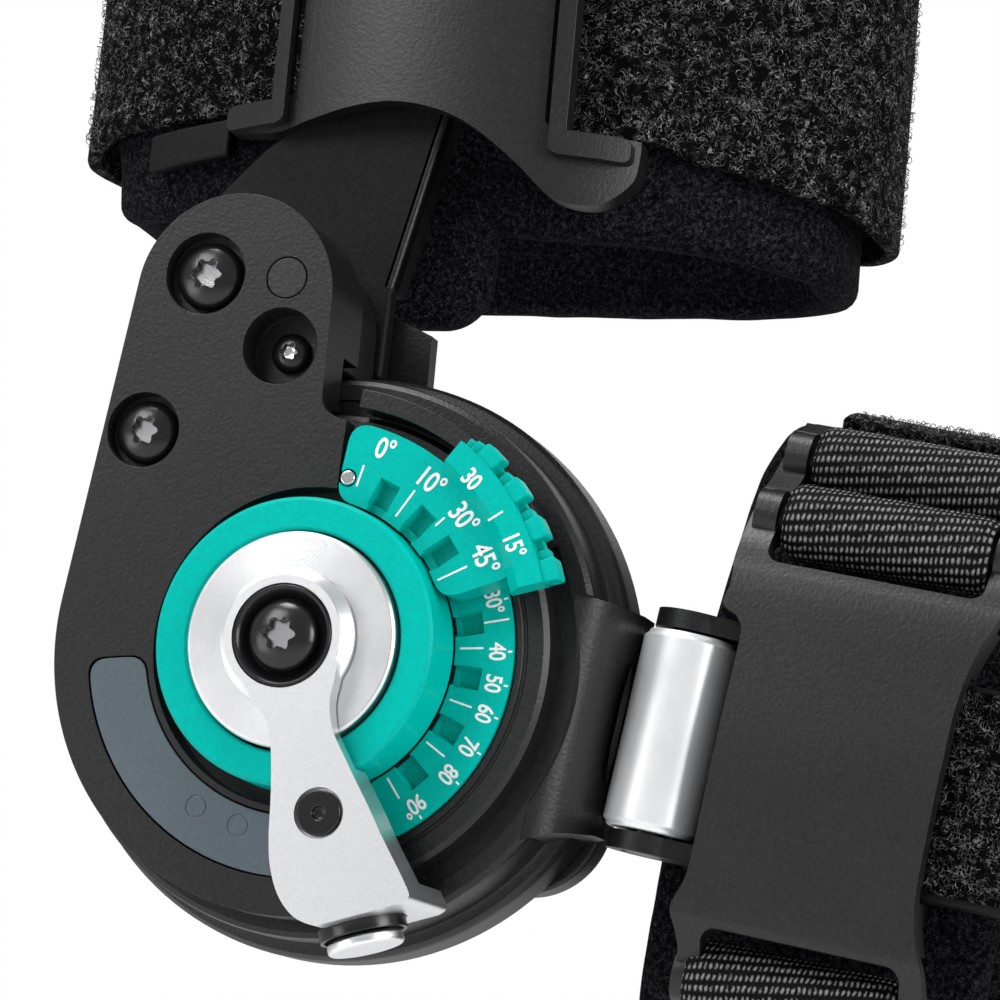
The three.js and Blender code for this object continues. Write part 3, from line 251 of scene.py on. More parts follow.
def blasted(name, color, roughness):
    """Bead-blasted metal."""
    finish, shader, where = new_finish(name, color, roughness, 1.0)
    frost = add_node(finish, "ShaderNodeTexNoise", {"Vector": where, "Scale": 4200.0, "Detail": 2.0})
    bump(finish, shader, frost.outputs["Fac"], 0.35, 0.00004)
    lighter = tuple(min(1.0, c * 1.08) for c in color)
    plug(finish, ramp(finish, frost.outputs["Fac"], color, lighter), shader.inputs["Base Color"])
    return finish


def turned_metal(name, color, roughness, centre, tilt=(0, 0, 0), rings=2200.0, direction="Y"):
    """Lathe-turned metal with fine rings about an axis through centre."""
    finish, shader, where = new_finish(name, color, roughness, 1.0)
    there = add_node(finish, "ShaderNodeMapping", {
        "Vector": where, "Location": centre, "Rotation": tilt}, vector_type="TEXTURE")
    groove = add_node(finish, "ShaderNodeTexWave", {
        "Vector": there.outputs["Vector"], "Scale": rings, "Distortion": 0.4, "Detail": 2.0},
        wave_type="RINGS", rings_direction=direction)
    bump(finish, shader, groove.outputs["Fac"], 0.25, 0.00003)
    streak = add_node(finish, "ShaderNodeTexNoise", {"Vector": there.outputs["Vector"], "Scale": 180.0})
    light = tuple(min(1.0, c * 1.1) for c in color)
    plug(finish, ramp(finish, streak.outputs["Fac"], color, light), shader.inputs["Base Color"])
    return finish


BLASTED = blasted("blasted_silver", (0.90, 0.905, 0.92), 0.34)
TURNED = turned_metal("turned_silver", (0.76, 0.765, 0.78), 0.32, PIVOT)
SCREW = blasted("blackened_steel", (0.006, 0.006, 0.007), 0.24)
SCREW.node_tree.nodes["Principled BSDF"].inputs["Metallic"].default_value = 0.0
BRIGHT = blasted("bright_socket", (0.72, 0.72, 0.74), 0.18)
print("metals: 4")

# %% [markdown]
# Modelling helpers. `prism` starts from a circle, lays its rim on an outline and extrudes it, as one
# does by hand from a traced drawing. `spun` turns a profile. `carve` cuts or joins with a Boolean.
# `soften` cleans the mesh and bevels its sharp edges, which gives moulded parts their bright lines.

# %% Modelling helpers


def pick(obj):
    """Makes obj the only selected object."""
    bpy.ops.object.select_all(action="DESELECT")
    obj.select_set(True)
    bpy.context.view_layer.objects.active = obj


def edit(obj, *steps):
    """Runs edit-mode operators on all of obj."""
    pick(obj)
    bpy.ops.object.mode_set(mode="EDIT")
    bpy.ops.mesh.select_all(action="SELECT")
    for step in steps:
        step()
    bpy.ops.object.mode_set(mode="OBJECT")
    return obj


def outwards():
    bpy.ops.mesh.select_all(action="SELECT")
    bpy.ops.mesh.normals_make_consistent(inside=False)


def facing(obj, centre):
    """Turns an open sheet's faces away from a centre."""
    edit(obj, outwards)
    first = obj.data.polygons[0]
    if (first.center - centre).dot(first.normal) < 0:
        edit(obj, lambda: bpy.ops.mesh.flip_normals())
    return obj


def smooth_all(obj):
    pick(obj)
    bpy.ops.object.shade_smooth()
    return obj


def modify(obj, kind, **settings):
    """Adds a modifier and applies it."""
    pick(obj)
    modifier = obj.modifiers.new(kind.lower(), kind)
    for key, value in settings.items():
        setattr(modifier, key, value)
    bpy.ops.object.modifier_apply(modifier=modifier.name)
    return obj


def traced(name, corners, filled=True):
    """A circle whose rim is laid on the corners."""
    bpy.ops.object.select_all(action="DESELECT")
    bpy.ops.mesh.primitive_circle_add(vertices=len(corners), fill_type="NGON" if filled else "NOTHING")
    obj = bpy.context.active_object
    obj.name = name
    for vertex, corner in zip(obj.data.vertices, corners):
        vertex.co = corner
    return obj


def prism(name, corners, push):
    """A traced outline extruded by push."""
    obj = traced(name, corners)
    return edit(
        obj,
        lambda: bpy.ops.mesh.extrude_region_move(TRANSFORM_OT_translate={"value": push}),
        outwards,
    )


def plate(name, outline, near, far):
    """An outline of (across, height) extruded from one depth to another."""
    corners = [hinge(x, near, z) for x, z in outline]
    return prism(name, corners, (0, (far - near) * MM, 0))


def spun(name, corners, centre, axis, steps=96):
    """A closed profile turned about an axis."""
    obj = traced(name, corners, filled=False)
    return edit(
        obj,
        lambda: bpy.ops.mesh.spin(steps=steps, angle=math.tau, center=centre, axis=axis, use_auto_merge=True),
        lambda: bpy.ops.mesh.select_all(action="SELECT"),
        lambda: bpy.ops.mesh.remove_doubles(threshold=0.000005),
        lambda: bpy.ops.mesh.dissolve_degenerate(threshold=0.000002),
        lambda: bpy.ops.mesh.delete_loose(use_verts=True, use_edges=True, use_faces=False),
        outwards,
    )


def turned(name, profile, steps=96):
    """A profile of (radius, depth) turned about the hinge's axis."""
    return spun(name, [hinge(r, d, 0) for r, d in profile], hinge(0, 0, 0), (0, 1, 0), steps)


def drum(name, radius, near, far):
    return turned(name, [(0, near), (radius, near), (radius, far), (0, far)], 96)


def carve(obj, *tools, operation="DIFFERENCE"):
    """Cuts, joins or intersects obj with each tool, which is used up."""
    for tool in tools:
        modify(obj, "BOOLEAN", object=tool, operation=operation, solver="EXACT")
        bpy.data.objects.remove(tool)
    return obj


def soften(obj, width, segments=3, angle=32, smooth=35):
    """Cleans the mesh, bevels its sharp edges and keeps the flat faces flat."""
    edit(
        obj,
        lambda: bpy.ops.mesh.remove_doubles(threshold=0.000008),
        lambda: bpy.ops.mesh.dissolve_limited(angle_limit=math.radians(0.5)),
        lambda: bpy.ops.mesh.dissolve_degenerate(threshold=0.000005),
    )
    if width:
        modify(obj, "BEVEL", width=width * MM, segments=segments, limit_method="ANGLE",
               angle_limit=math.radians(angle), use_clamp_overlap=True)
    pick(obj)
    bpy.ops.object.shade_smooth_by_angle(angle=math.radians(smooth))
    modify(obj, "WEIGHTED_NORMAL", weight=60, keep_sharp=True)
    return obj


def done(obj, finish, body, *nodes, slot=None):
    """Gives a finished piece its material, its body and the nodes that it stands for."""
    obj.data.materials.clear()
    obj.data.materials.append(finish)
    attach(obj, body)
    if nodes:
        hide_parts(*nodes)
    print(obj.name, "faces", len(obj.data.polygons))
    return obj


# %% [markdown]
# Outlines are lists of points, made of arcs and short bends, so that a round edge is round because a
# formula says so. Angles are in degrees, counted from straight ahead and upwards.

# %% Outline helpers


def polar(radius, degrees):
    return (radius * math.cos(math.radians(degrees)), radius * math.sin(math.radians(degrees)))


def arc(x, z, radius, start, end, steps=24):
    """Points of an arc, ends included."""
    points = []
    for i in range(steps + 1):
        px, pz = polar(radius, start + (end - start) * i / steps)
        points.append((x + px, z + pz))
    return points


def bend(a, corner, b, steps=6):
    """Points of a bend from a to b that heads for a corner."""
    points = []
    for i in range(steps + 1):
        t = i / steps
        s = 1 - t
        points.append(tuple(s * s * a[k] + 2 * s * t * corner[k] + t * t * b[k] for k in (0, 1)))
    return points


def rounded(x0, x1, z0, z1, corner):
    """A rectangle with rounded corners."""
    left, right, low, high = x0 + corner, x1 - corner, z0 + corner, z1 - corner
    return (arc(left, low, corner, 180, 270, 6) + arc(right, low, corner, 270, 360, 6)
            + arc(right, high, corner, 0, 90, 6) + arc(left, high, corner, 90, 180, 6))


def circle(x, z, radius, steps=48):
    return arc(x, z, radius, 0, 360 - 360 / steps, steps - 1)


def sector(inner, outer, start, end, corner=0.0, steps=48):
    """Part of a ring with rounded corners."""
    out_turn = math.degrees(corner / outer)
    in_turn = math.degrees(corner / inner)
    far = arc(0, 0, outer, start + out_turn, end - out_turn, steps)
    near = arc(0, 0, inner, end - in_turn, start + in_turn, steps)
    if corner == 0:
        return far + near
    return (
        far
        + bend(far[-1], polar(outer, end), polar(outer - corner, end))[1:]
        + bend(polar(inner + corner, end), polar(inner, end), near[0])[:-1]
        + near
        + bend(near[-1], polar(inner, start), polar(inner + corner, start))[1:]
        + bend(polar(outer - corner, start), polar(outer, start), far[0])[:-1]
    )


print("outline helpers ready")

# %% [markdown]
# ## The hinge cover
#
# The cover is one black moulding: a round face with a lobe for its screws, open on the side of the
# dial. It could be lofted, but it is really a flat plate with a skirt, so an extruded outline is the
# honest way. Its recesses are cut first and all the edges are bevelled last, in one go.

# %% Sizes of the cover
COVER_FACE = 5.5
COVER_R = 31.0
COVER_BORE = 18.6
COVER_WALL = 3.0
COVER_BACK = 17.0
LOBE = (-13.2, 41.3)
LOBE_R = 12.2
NOTCH = (2.3, 26.6)
COVER_END = 292
SKIRT_R = 28.4
FLANGE_R = 35.3
SKIRT_BACK = 11.8
SCREWS = {
    "cover_screw_upper": {"at": (-17.0, 43.7), "head": 4.1, "recess": 4.95, "sink": 2.4},
    "cover_screw_lower": {"at": (-22.8, 24.7), "head": 3.8, "recess": 4.5, "sink": 2.4},
    "cover_screw_deep": {"at": (-6.8, 35.2), "head": 2.4, "recess": 4.6, "sink": 4.6},
}
PLUG_AT = (-6.8, 43.4)
PLUG_R = 2.4

# %% Model the cover
reach = math.hypot(*LOBE)
lean = math.degrees(math.atan2(LOBE[1], LOBE[0]) + math.acos((COVER_R - LOBE_R) / reach))
bore_end = math.degrees(math.acos((NOTCH[0] - 0.3) / COVER_BORE))
side = LOBE[0] + LOBE_R
cover_outline = (
    bend(NOTCH, (side, NOTCH[1] + 0.6), (side, NOTCH[1] + 3))
    + arc(*LOBE, LOBE_R, 0, lean, 48)
    + arc(0, 0, COVER_R, lean, COVER_END, 72)
    + arc(0, 0, COVER_BORE, COVER_END, bore_end, 90)
)
cover = plate("cover_shell", cover_outline, COVER_FACE, COVER_BACK)
cutters = [
    drum("skirt_room", SKIRT_R, COVER_FACE + COVER_WALL, COVER_BACK + 1),
    drum("flange_room", FLANGE_R, SKIRT_BACK, COVER_BACK + 1),
    plate("plug_seat", circle(*PLUG_AT, PLUG_R + 0.15), COVER_FACE - 1, COVER_FACE + 1.3),
    plate("slate_bed", sector(19.35, 26.75, 185.5, 279.5, 2.2), COVER_FACE - 1, COVER_FACE + 1.5),
]
for screw in SCREWS.values():
    mouth = circle(*screw["at"], screw["recess"])
    cutters.append(plate("recess", mouth, COVER_FACE - 1, COVER_FACE + screw["sink"]))
carve(cover, *cutters)
soften(cover, 0.4, 3)
done(cover, BLACK, "upper", "front_cover", slot="black_plastic")

# %% [markdown]
# The screws are domed button heads with a six-lobed socket. The dome is a turned profile and the
# socket is cut with a star-shaped prism. The driver has polished the socket's floor, so a small
# bright star lies in it.

# %% Screws


def star(x, z, radius, steps=72):
    """A six-lobed socket outline."""
    points = []
    for i in range(steps):
        turn = 360 * i / steps
        lobe = radius * (0.86 + 0.14 * math.cos(math.radians(6 * turn)))
        px, pz = polar(lobe, turn)
        points.append((x + px, z + pz))
    return points


def domed_screw(name, at, head, seat, rise, shank, tail, socket):
    """A domed head on a short shank, with its socket and the bright floor of it."""
    profile = [(0, seat - rise)]
    for i in range(1, 13):
        turn = math.radians(90 * i / 12)
        profile.append((head * math.sin(turn), seat - rise * (0.12 + 0.88 * math.cos(turn))))
    profile += [(head, seat), (shank, seat), (shank, tail), (0, tail)]
    screw = turned(name, profile, 64)
    floor_depth = seat - rise * 0.25
    carve(screw, plate("socket", star(0, 0, socket), seat - rise - 2, floor_depth))
    soften(screw, 0.12, 2, 40)
    glint = plate(name + "_socket_floor", star(0, 0, socket * 0.97), floor_depth - 0.35, floor_depth)
    carve(glint, turned("dimple", [(0, floor_depth - 0.6), (socket * 0.55, floor_depth - 0.36),
                                   (0, floor_depth - 0.05)], 32))
    soften(glint, 0.05, 2)
    shift = hinge(at[0], 0, at[1]) - hinge(0, 0, 0)
    for piece in (screw, glint):
        piece.data.transform(Matrix.Translation(shift))
    return screw, glint


for name, screw in SCREWS.items():
    seat = COVER_FACE + screw["sink"] - 0.3
    rise = min(2.1, screw["head"] * 0.55)
    head, glint = domed_screw(name + "_head", screw["at"], screw["head"], seat, rise, screw["head"] * 0.5,
                              seat + 0.25, screw["head"] * 0.46)
    done(head, SCREW, "upper", name, slot="dark_steel")
    done(glint, BRIGHT, "upper", slot="dark_steel")

plug_disc = plate("cover_plug_disc", circle(*PLUG_AT, PLUG_R), COVER_FACE + 0.05, COVER_FACE + 1.0)
done(soften(plug_disc, 0.12, 2), SHELL_BLACK, "upper", "cover_plug", slot="black_plastic")

# %% [markdown]
# A glossy slate-grey insert lies flush in the cover, under the lever. Two faint rings are moulded in
# it. Each ring is a shallow groove cut with a thin washer.

# %% Slate insert
SLATE_MARKS = [(-11.3, -19.1), (-6.0, -21.0)]
slate = plate("slate_inlay", sector(19.6, 26.5, 186, 279, 2.2), COVER_FACE, COVER_FACE + 1.2)
for mark in SLATE_MARKS:
    groove = plate("groove", circle(*mark, 1.35), COVER_FACE - 0.5, COVER_FACE + 0.12)
    carve(groove, plate("core", circle(*mark, 1.12), COVER_FACE - 1, COVER_FACE + 1))
    carve(slate, groove)
soften(slate, 0.2, 3)
done(slate, SLATE, "upper", "slate_insert", slot="slate_plastic")

# %% [markdown]
# ## The pivot
#
# Round the pivot lie a turned silver disc, a teal ring and, in front of them, the black dish that
# holds the pivot screw. All are turned parts, so each is a spun profile with small chamfers.

# %% Disc, ring and dish
BORE_R = 3.3
silver = turned("silver_face", [(BORE_R, 5.0), (BORE_R, 0.0), (12.2, 0.0), (12.5, 0.3), (12.5, 5.0)], 128)
done(soften(silver, 0.1, 2), TURNED, "upper", "silver_disc", slot="silver_metal")
ring = turned("teal_collar", [(12.8, 5.0), (12.8, 1.3), (13.1, 0.94), (16.3, 0.94), (16.7, 1.35), (16.9, 8.4),
                              (16.3, 8.4), (16.3, 5.0)], 128)
done(soften(ring, 0.12, 2), TEAL, "upper", "teal_ring", slot="teal_plastic")
dish_profile = [
    (BORE_R, -0.3), (5.7, -0.3), (5.9, -2.5), (5.75, -2.75), (5.5, -2.75), (5.1, -2.35), (4.7, -1.75),
    (4.35, -1.4), (BORE_R, -1.25),
]
dish = turned("pivot_cup", dish_profile, 96)
done(soften(dish, 0.08, 2), SCREW, "upper", "pivot_dish", slot="dark_steel")
pivot_head, pivot_glint = domed_screw("pivot_screw_head", (0, 0), 4.05, -1.9, 2.0, 3.0, 35.0, 1.95)
done(pivot_head, SCREW, "upper", "pivot_screw", slot="dark_steel")
done(pivot_glint, BRIGHT, "upper", slot="dark_steel")

# %% [markdown]
# ## The stop dial
#
# The upper stop is a teal sector with its settings printed in white. Each setting has a square well
# and a long tick, and the outer edge is a raised grip with ledges for the thumb. The lower scale on
# the link repeats the wells. Wells are cut, ledges are small blocks joined to the rim, and numbers are
# text turned into thin meshes.

# %% Helpers for the dials
FONT_LIFT = 0.04
NARROW = 0.78


def on_dial(obj, radius, degrees, face, spin):
    """Places a mesh drawn flat round the origin in mm onto the dial's face."""
    turn = Matrix.Rotation(math.radians(90), 4, "X")
    spun_about = Matrix.Rotation(math.radians(-spin), 4, "Y")
    x, z = polar(radius, degrees)
    place = Matrix.Translation(hinge(x, face, z))
    obj.data.transform(place @ spun_about @ turn @ Matrix.Scale(MM, 4))
    return obj


def label(name, words, size, radius, degrees, face, spin):
    """White print on a dial."""
    bpy.ops.object.select_all(action="DESELECT")
    bpy.ops.object.text_add()
    text = bpy.context.active_object
    text.name = name
    text.data.body = words
    text.data.align_x = "CENTER"
    text.data.align_y = "CENTER"
    text.data.size = size
    text.data.space_character = 0.95
    text.data.offset = 0.05
    text.data.extrude = FONT_LIFT
    text.data.resolution_u = 4
    bpy.ops.object.convert(target="MESH")
    text = bpy.context.active_object
    text.data.transform(Matrix.Diagonal((NARROW, 1, 1, 1)))
    return on_dial(text, radius, degrees, face, spin)


def tick(name, inner, outer, degrees, face, width=0.22, spin=0.0):
    """A white line from one radius to another."""
    half = math.degrees(width / 2 / inner)
    a = polar(inner, degrees - half)
    b = polar(outer, degrees + spin - half * inner / outer)
    c = polar(outer, degrees + spin + half * inner / outer)
    d = polar(inner, degrees + half)
    return plate(name, [a, b, c, d], face - FONT_LIFT, face + 0.05)


def fuse(name, objects):
    """Joins several meshes into one object."""
    bpy.ops.object.select_all(action="DESELECT")
    for obj in objects:
        obj.select_set(True)
    bpy.context.view_layer.objects.active = objects[0]
    bpy.ops.object.join()
    objects[0].name = name
    return objects[0]


def well(radius, degrees, face, wide=2.9, long=3.9, depth=1.7, slant=0.62):
    """A funnel with straight sides that narrows towards its floor."""
    outline = [(radius - long / 2, -wide / 2), (radius + long / 2, -wide / 2),
               (radius + long / 2, wide / 2), (radius - long / 2, wide / 2)]
    turn = math.radians(degrees)
    turned_outline = [(x * math.cos(turn) - z * math.sin(turn), x * math.sin(turn) + z * math.cos(turn))
                      for x, z in outline]
    tool = plate("well", turned_outline, face - 0.6, face + depth)
    centre = hinge(*(polar(radius, degrees)[0], face + depth, polar(radius, degrees)[1]))
    for vertex in tool.data.vertices:
        if vertex.co.y > centre.y - 0.1 * MM:
            vertex.co = centre + (vertex.co - centre) * slant
    return tool


print("dial helpers ready")

# %% Upper stop
STOP_FACE = 4.0
STOP_BACK = 8.1
GRIP_FACE = 2.0
STOP_NUMBERS = [
    {"words": "0°", "radius": 24.2, "angle": 71.0},
    {"words": "10°", "radius": 23.7, "angle": 54.8},
    {"words": "30°", "radius": 23.6, "angle": 40.4},
    {"words": "45°", "radius": 23.5, "angle": 27.1},
]
STOP_WELLS = (65.0, 49.0, 35.7)
STOP_LINES = [
    {"inner": 19.2, "outer": 21.8, "angle": 75.4},
    {"inner": 18.2, "outer": 21.9, "angle": 57.0},
    {"inner": 20.6, "outer": 22.0, "angle": 44.2},
    {"inner": 17.6, "outer": 21.4, "angle": 27.4},
]
GRIP_START, GRIP_END, GRIP_R = 15.9, 53.8, 31.6
GRIP_LEDGES = 4
stop = plate("stop_sector", sector(17.1, 26.4, 20, 82, 2.4, 40), STOP_FACE, STOP_BACK)
grip = turned("grip", [(25.3, 4.05), (26.8, GRIP_FACE), (29.7, GRIP_FACE), (29.7, 5.45), (25.2, 5.45)], 160)
grip_sector = plate("grip_sector", sector(24.0, 31.0, GRIP_START, GRIP_END, 0.8, 40), 1.0, 6.5)
carve(grip, grip_sector, operation="INTERSECT")
carve(stop, grip, operation="UNION")
ledges = [soften(plate("ledge_base", sector(29.0, 30.6, GRIP_START, GRIP_END, 0.3, 40), 3.9, 5.4), 0.2)]
grip_step = (GRIP_END - GRIP_START) / GRIP_LEDGES
for i in range(GRIP_LEDGES):
    start = GRIP_START + grip_step * i
    tooth = sector(29.0, GRIP_R, start, start + grip_step * 0.52, 0.4, 12)
    tread = sector(29.0, 31.0, start + grip_step * 0.4, start + grip_step * 0.78, 0.3, 12)
    ledges.append(soften(plate("tooth", tooth, 2.35, 5.4), 0.25))
    ledges.append(soften(plate("tread", tread, 3.1, 5.4), 0.25))
wells = [well(19.4, degrees, STOP_FACE) for degrees in STOP_WELLS]
lip_cuts = [
    plate("lip", sector(16.5, 18.6, degrees - 3.6, degrees + 3.6, 0, 8), STOP_FACE - 1, STOP_FACE + 1.1)
    for degrees in STOP_WELLS
]
pin_at = polar(19.9, 79.4)
pin_hole = plate("pin_hole", circle(*pin_at, 1.1, 32), STOP_FACE - 1, STOP_FACE + 1.5)
carve(stop, *wells, *lip_cuts, pin_hole)
soften(stop, 0.28, 3)
stop = fuse("stop_sector", [stop] + ledges)
done(stop, TEAL, "stop", "stop_dial", slot="teal_plastic")

prints = []
for number in STOP_NUMBERS:
    prints.append(label("number", number["words"], 3.5, number["radius"], number["angle"], STOP_FACE - 0.02,
                        number["angle"] - 90))
for line in STOP_LINES:
    prints.append(tick("line", line["inner"], line["outer"], line["angle"], STOP_FACE))
prints.append(label("number", "30", 2.9, 27.3, 45.5, GRIP_FACE - 0.02, 45.5 - 90))
prints.append(label("number", "15°", 2.9, 27.6, 26.0, GRIP_FACE - 0.02, 26.0 - 90))
prints.append(tick("line", 26.2, 28.2, 34.5, GRIP_FACE))
stop_print = fuse("stop_print", prints)
done(stop_print, PAINT, "stop", slot="teal_plastic")

pin = plate("stop_pin_head", circle(*pin_at, 0.9, 32), STOP_FACE - 0.15, STOP_FACE + 1.2)
done(soften(pin, 0.25, 3), BRIGHT, "stop", "stop_pin", slot="silver_metal")

# %% Lower scale on the link
LOW_FACE = 8.6
LOW_NUMBERS = [
    {"words": "30°", "angle": 17.4},
    {"words": "40", "angle": 2.4},
    {"words": "50", "angle": -7.2},
    {"words": "60", "angle": -16.5},
    {"words": "70", "angle": -27.3},
    {"words": "80", "angle": -37.4},
    {"words": "90°", "angle": -51.4},
]
LOW_WELLS = (12.0, -6.7, -26.0, -45.6)
LOW_LINES = (3.5, -16.0, -34.0, -54.0)
scale = plate("scale_sector", sector(17.05, 24.0, -60.5, 31.65, 0.4, 72), LOW_FACE, LOW_FACE + 1.6)
low_wells = [well(18.9, degrees, LOW_FACE, 3.0, 3.6, 1.3) for degrees in LOW_WELLS]
low_lips = [
    plate("lip", sector(16.5, 17.9, degrees - 3.8, degrees + 3.8, 0, 8), LOW_FACE - 1, LOW_FACE + 0.8)
    for degrees in LOW_WELLS
]
carve(scale, *low_wells, *low_lips)
soften(scale, 0.2, 3)
done(scale, TEAL, "link", "lower_dial", slot="teal_plastic")
prints = []
for number in LOW_NUMBERS:
    prints.append(label("number", number["words"], 2.75, 22.0, number["angle"], LOW_FACE - 0.02,
                        number["angle"] - 90))
    prints.append(tick("short", 23.35, 23.85, number["angle"], LOW_FACE))
for degrees in LOW_LINES:
    prints.append(tick("line", 17.6, 20.4, degrees, LOW_FACE))
prints.append(tick("long", 20.6, 23.6, 11.6, LOW_FACE))
scale_print = fuse("scale_print", prints)
done(scale_print, PAINT, "link", slot="teal_plastic")

# %% [markdown]
# ## The lever
#
# The lock lever is a bead-blasted casting: a ring round the pivot cup, an arm that widens to a blunt
# foot, a screw, and a push button on its end. The ring and the arm share one traced outline, so the arm
# grows out of the ring without a seam, and the edges are bevelled last.

# %% Lever sizes
LEVER_TURN = -72
LEVER_FACE = -2.7
LEVER_LENGTH = 33.0
LEVER_SCREW_AT = 20.8
BUTTON_DEPTH = 5.0
BUTTON_R = 4.4
LEVER_BACK = 11.6
LEVER_SIDES = [
    {"along": 0.14, "left": -0.165, "right": 0.175},
    {"along": 0.20, "left": -0.150, "right": 0.150},
    {"along": 0.27, "left": -0.115, "right": 0.118},
    {"along": 0.36, "left": -0.118, "right": 0.108},
    {"along": 0.45, "left": -0.134, "right": 0.126},
    {"along": 0.55, "left": -0.158, "right": 0.150},
    {"along": 0.66, "left": -0.188, "right": 0.178},
    {"along": 0.76, "left": -0.205, "right": 0.200},
    {"along": 0.86, "left": -0.200, "right": 0.226},
    {"along": 0.94, "left": -0.168, "right": 0.246},
    {"along": 0.985, "left": -0.120, "right": 0.250},
    {"along": 1.00, "left": -0.080, "right": 0.215},
]


def beside_lever(along, across):
    """A point (across, height) given along the lever and to its right."""
    turn = math.radians(LEVER_TURN)
    c, s = math.cos(turn), math.sin(turn)
    return (along * c - across * s, along * s + across * c)


def along_lever(along, depth, across):
    x, z = beside_lever(along, across)
    return hinge(x, depth, z)


def lever_disc(name, radius, near, far, steps):
    """A disc about the lever's screw, from one depth to another."""
    return plate(name, [beside_lever(x, z) for x, z in circle(LEVER_SCREW_AT, 0, radius, steps)], near, far)


def lever_rod(name, radius, start, length, steps=64):
    """A rod about the button's axis, from a place along the lever."""
    corners = [along_lever(start, BUTTON_DEPTH + d, z) for d, z in circle(0, 0, radius, steps)]
    return prism(name, corners, POINTING * length * MM)


POINTING = (along_lever(1, 0, 0) - along_lever(0, 0, 0)) / MM
print("lever points", [round(v, 3) for v in POINTING])

# %% Model the lever


def smoothed(points, steps=6):
    """A smooth line through the points."""
    line = []
    last = len(points) - 1
    for i in range(last):
        a, b, c, d = points[max(i - 1, 0)], points[i], points[i + 1], points[min(i + 2, last)]
        for k in range(steps):
            t = k / steps
            line.append(tuple(0.5 * (
                2 * b[j] + (c[j] - a[j]) * t + (2 * a[j] - 5 * b[j] + 4 * c[j] - d[j]) * t * t
                + (3 * b[j] - a[j] - 3 * c[j] + d[j]) * t ** 3) for j in (0, 1)))
    return line + [points[-1]]


RING_R = 6.95
right_side = smoothed([(s["along"] * LEVER_LENGTH, s["right"] * LEVER_LENGTH) for s in LEVER_SIDES], 5)
left_side = smoothed([(s["along"] * LEVER_LENGTH, s["left"] * LEVER_LENGTH) for s in LEVER_SIDES], 5)
right_turn = math.degrees(math.atan2(right_side[0][1], right_side[0][0]))
left_turn = math.degrees(math.atan2(left_side[0][1], left_side[0][0]))
round_the_ring = arc(0, 0, RING_R, right_turn, left_turn + 360, 72)
arm = plate("lever_arm", [beside_lever(*p) for p in left_side + right_side[::-1] + round_the_ring[1:-1]],
            LEVER_FACE, LEVER_BACK)
FOOT_START = 28.5
ARM_BACK = 3.4
carve(arm, plate("arm_back", [beside_lever(*p) for p in (
    (-14, -14), (FOOT_START, -14), (FOOT_START, 14), (-14, 14))], ARM_BACK, LEVER_BACK + 1))
collar_slope = turned("collar_slope", [
    (5.0, LEVER_FACE + 0.3), (6.8, LEVER_FACE + 0.3), (8.0, -0.9), (8.0, 0.5), (5.0, 0.5)], 128)
carve(arm, collar_slope, operation="UNION")
carve(arm, turned("ring_room", [(0, -0.28), (17.2, -0.28), (17.2, 4.0), (0, 4.0)], 96),
      drum("cup_room", 6.0, LEVER_FACE - 1, 4))
carve(arm, drum("cover_room", 31.4, 3.5, 12.5))
hole = lever_disc("screw_hole", 2.9, LEVER_FACE - 1, -1.4, 40)
carve(arm, hole, lever_rod("collar_hole", 5.2, 32.4, 6, 48))
arm.name = "lever_casting"
soften(arm, 0.6, 4, 36, 40)
done(arm, BLASTED, "lever", "lever", slot="silver_metal")

lever_pin = lever_disc("lever_screw_disc", 2.6, -2.85, -1.7, 48)
carve(lever_pin, lever_disc("pinhole", 0.75, -4, -2.3, 24))
done(soften(lever_pin, 0.2, 3), SCREW, "lever", "lever_screw", slot="dark_steel")

collar = lever_rod("lever_collar", 5.05, 32.7, 1.6)
carve(collar, lever_rod("bore", 4.55, 33.2, 4))
done(soften(collar, 0.15, 2), SCREW, "lever", "button_collar", slot="dark_steel")
button = lever_rod("push_button", BUTTON_R, 34.45, 1.35)
done(soften(button, 0.45, 4), BLASTED, "button", "lever_button", slot="silver_metal")

# %% [markdown]
# ## The rim, the carrier and the link
#
# Behind the dial the link turns: a stack of rings of growing radius, which flows into a short arm for
# the barrel. The rings are one spun profile with small rolled edges. The arm is a block joined to the
# rings, and a cutter with a curved side shapes its front.

# %% Helpers for the forearm


def fore_plate(name, outline, near, far):
    """An outline of (along, up) on the forearm, extruded from one depth to another."""
    return prism(name, [fore(a, near, b) for a, b in outline], (0, (far - near) * MM, 0))


BARREL_AT = (39.9, 23.0)


def barrel_rod(name, radius, low, length, steps):
    """A rod about the barrel's axis, for cutting or joining."""
    along, depth = BARREL_AT
    corners = [fore(along + a, depth + d, low) for a, d in circle(0, 0, radius, steps)]
    return prism(name, corners, UP * length * MM)


def fore_rod(name, along, depth, up, radius, length, steps=48):
    """A rod that runs along the forearm from a point on its axis."""
    corners = [fore(along, depth + d, up + b) for d, b in circle(0, 0, radius, steps)]
    return prism(name, corners, ALONG * length * MM)


print("forearm helpers ready")

# %% Rim and link
rim = plate("rim_wall", sector(28.5, 30.7, 27, 83, 0.2, 60), 6.0, 11.6)
done(soften(rim, 0.3, 3), BLACK, "upper", "dial_rim", slot="black_plastic")
carrier = turned("disc_carrier", [(BORE_R, 5.3), (16.1, 5.3), (16.1, 8.5), (BORE_R, 8.5)], 96)
done(soften(carrier, 0.1, 2), BLACK, "upper", "dial_carrier", slot="black_plastic")

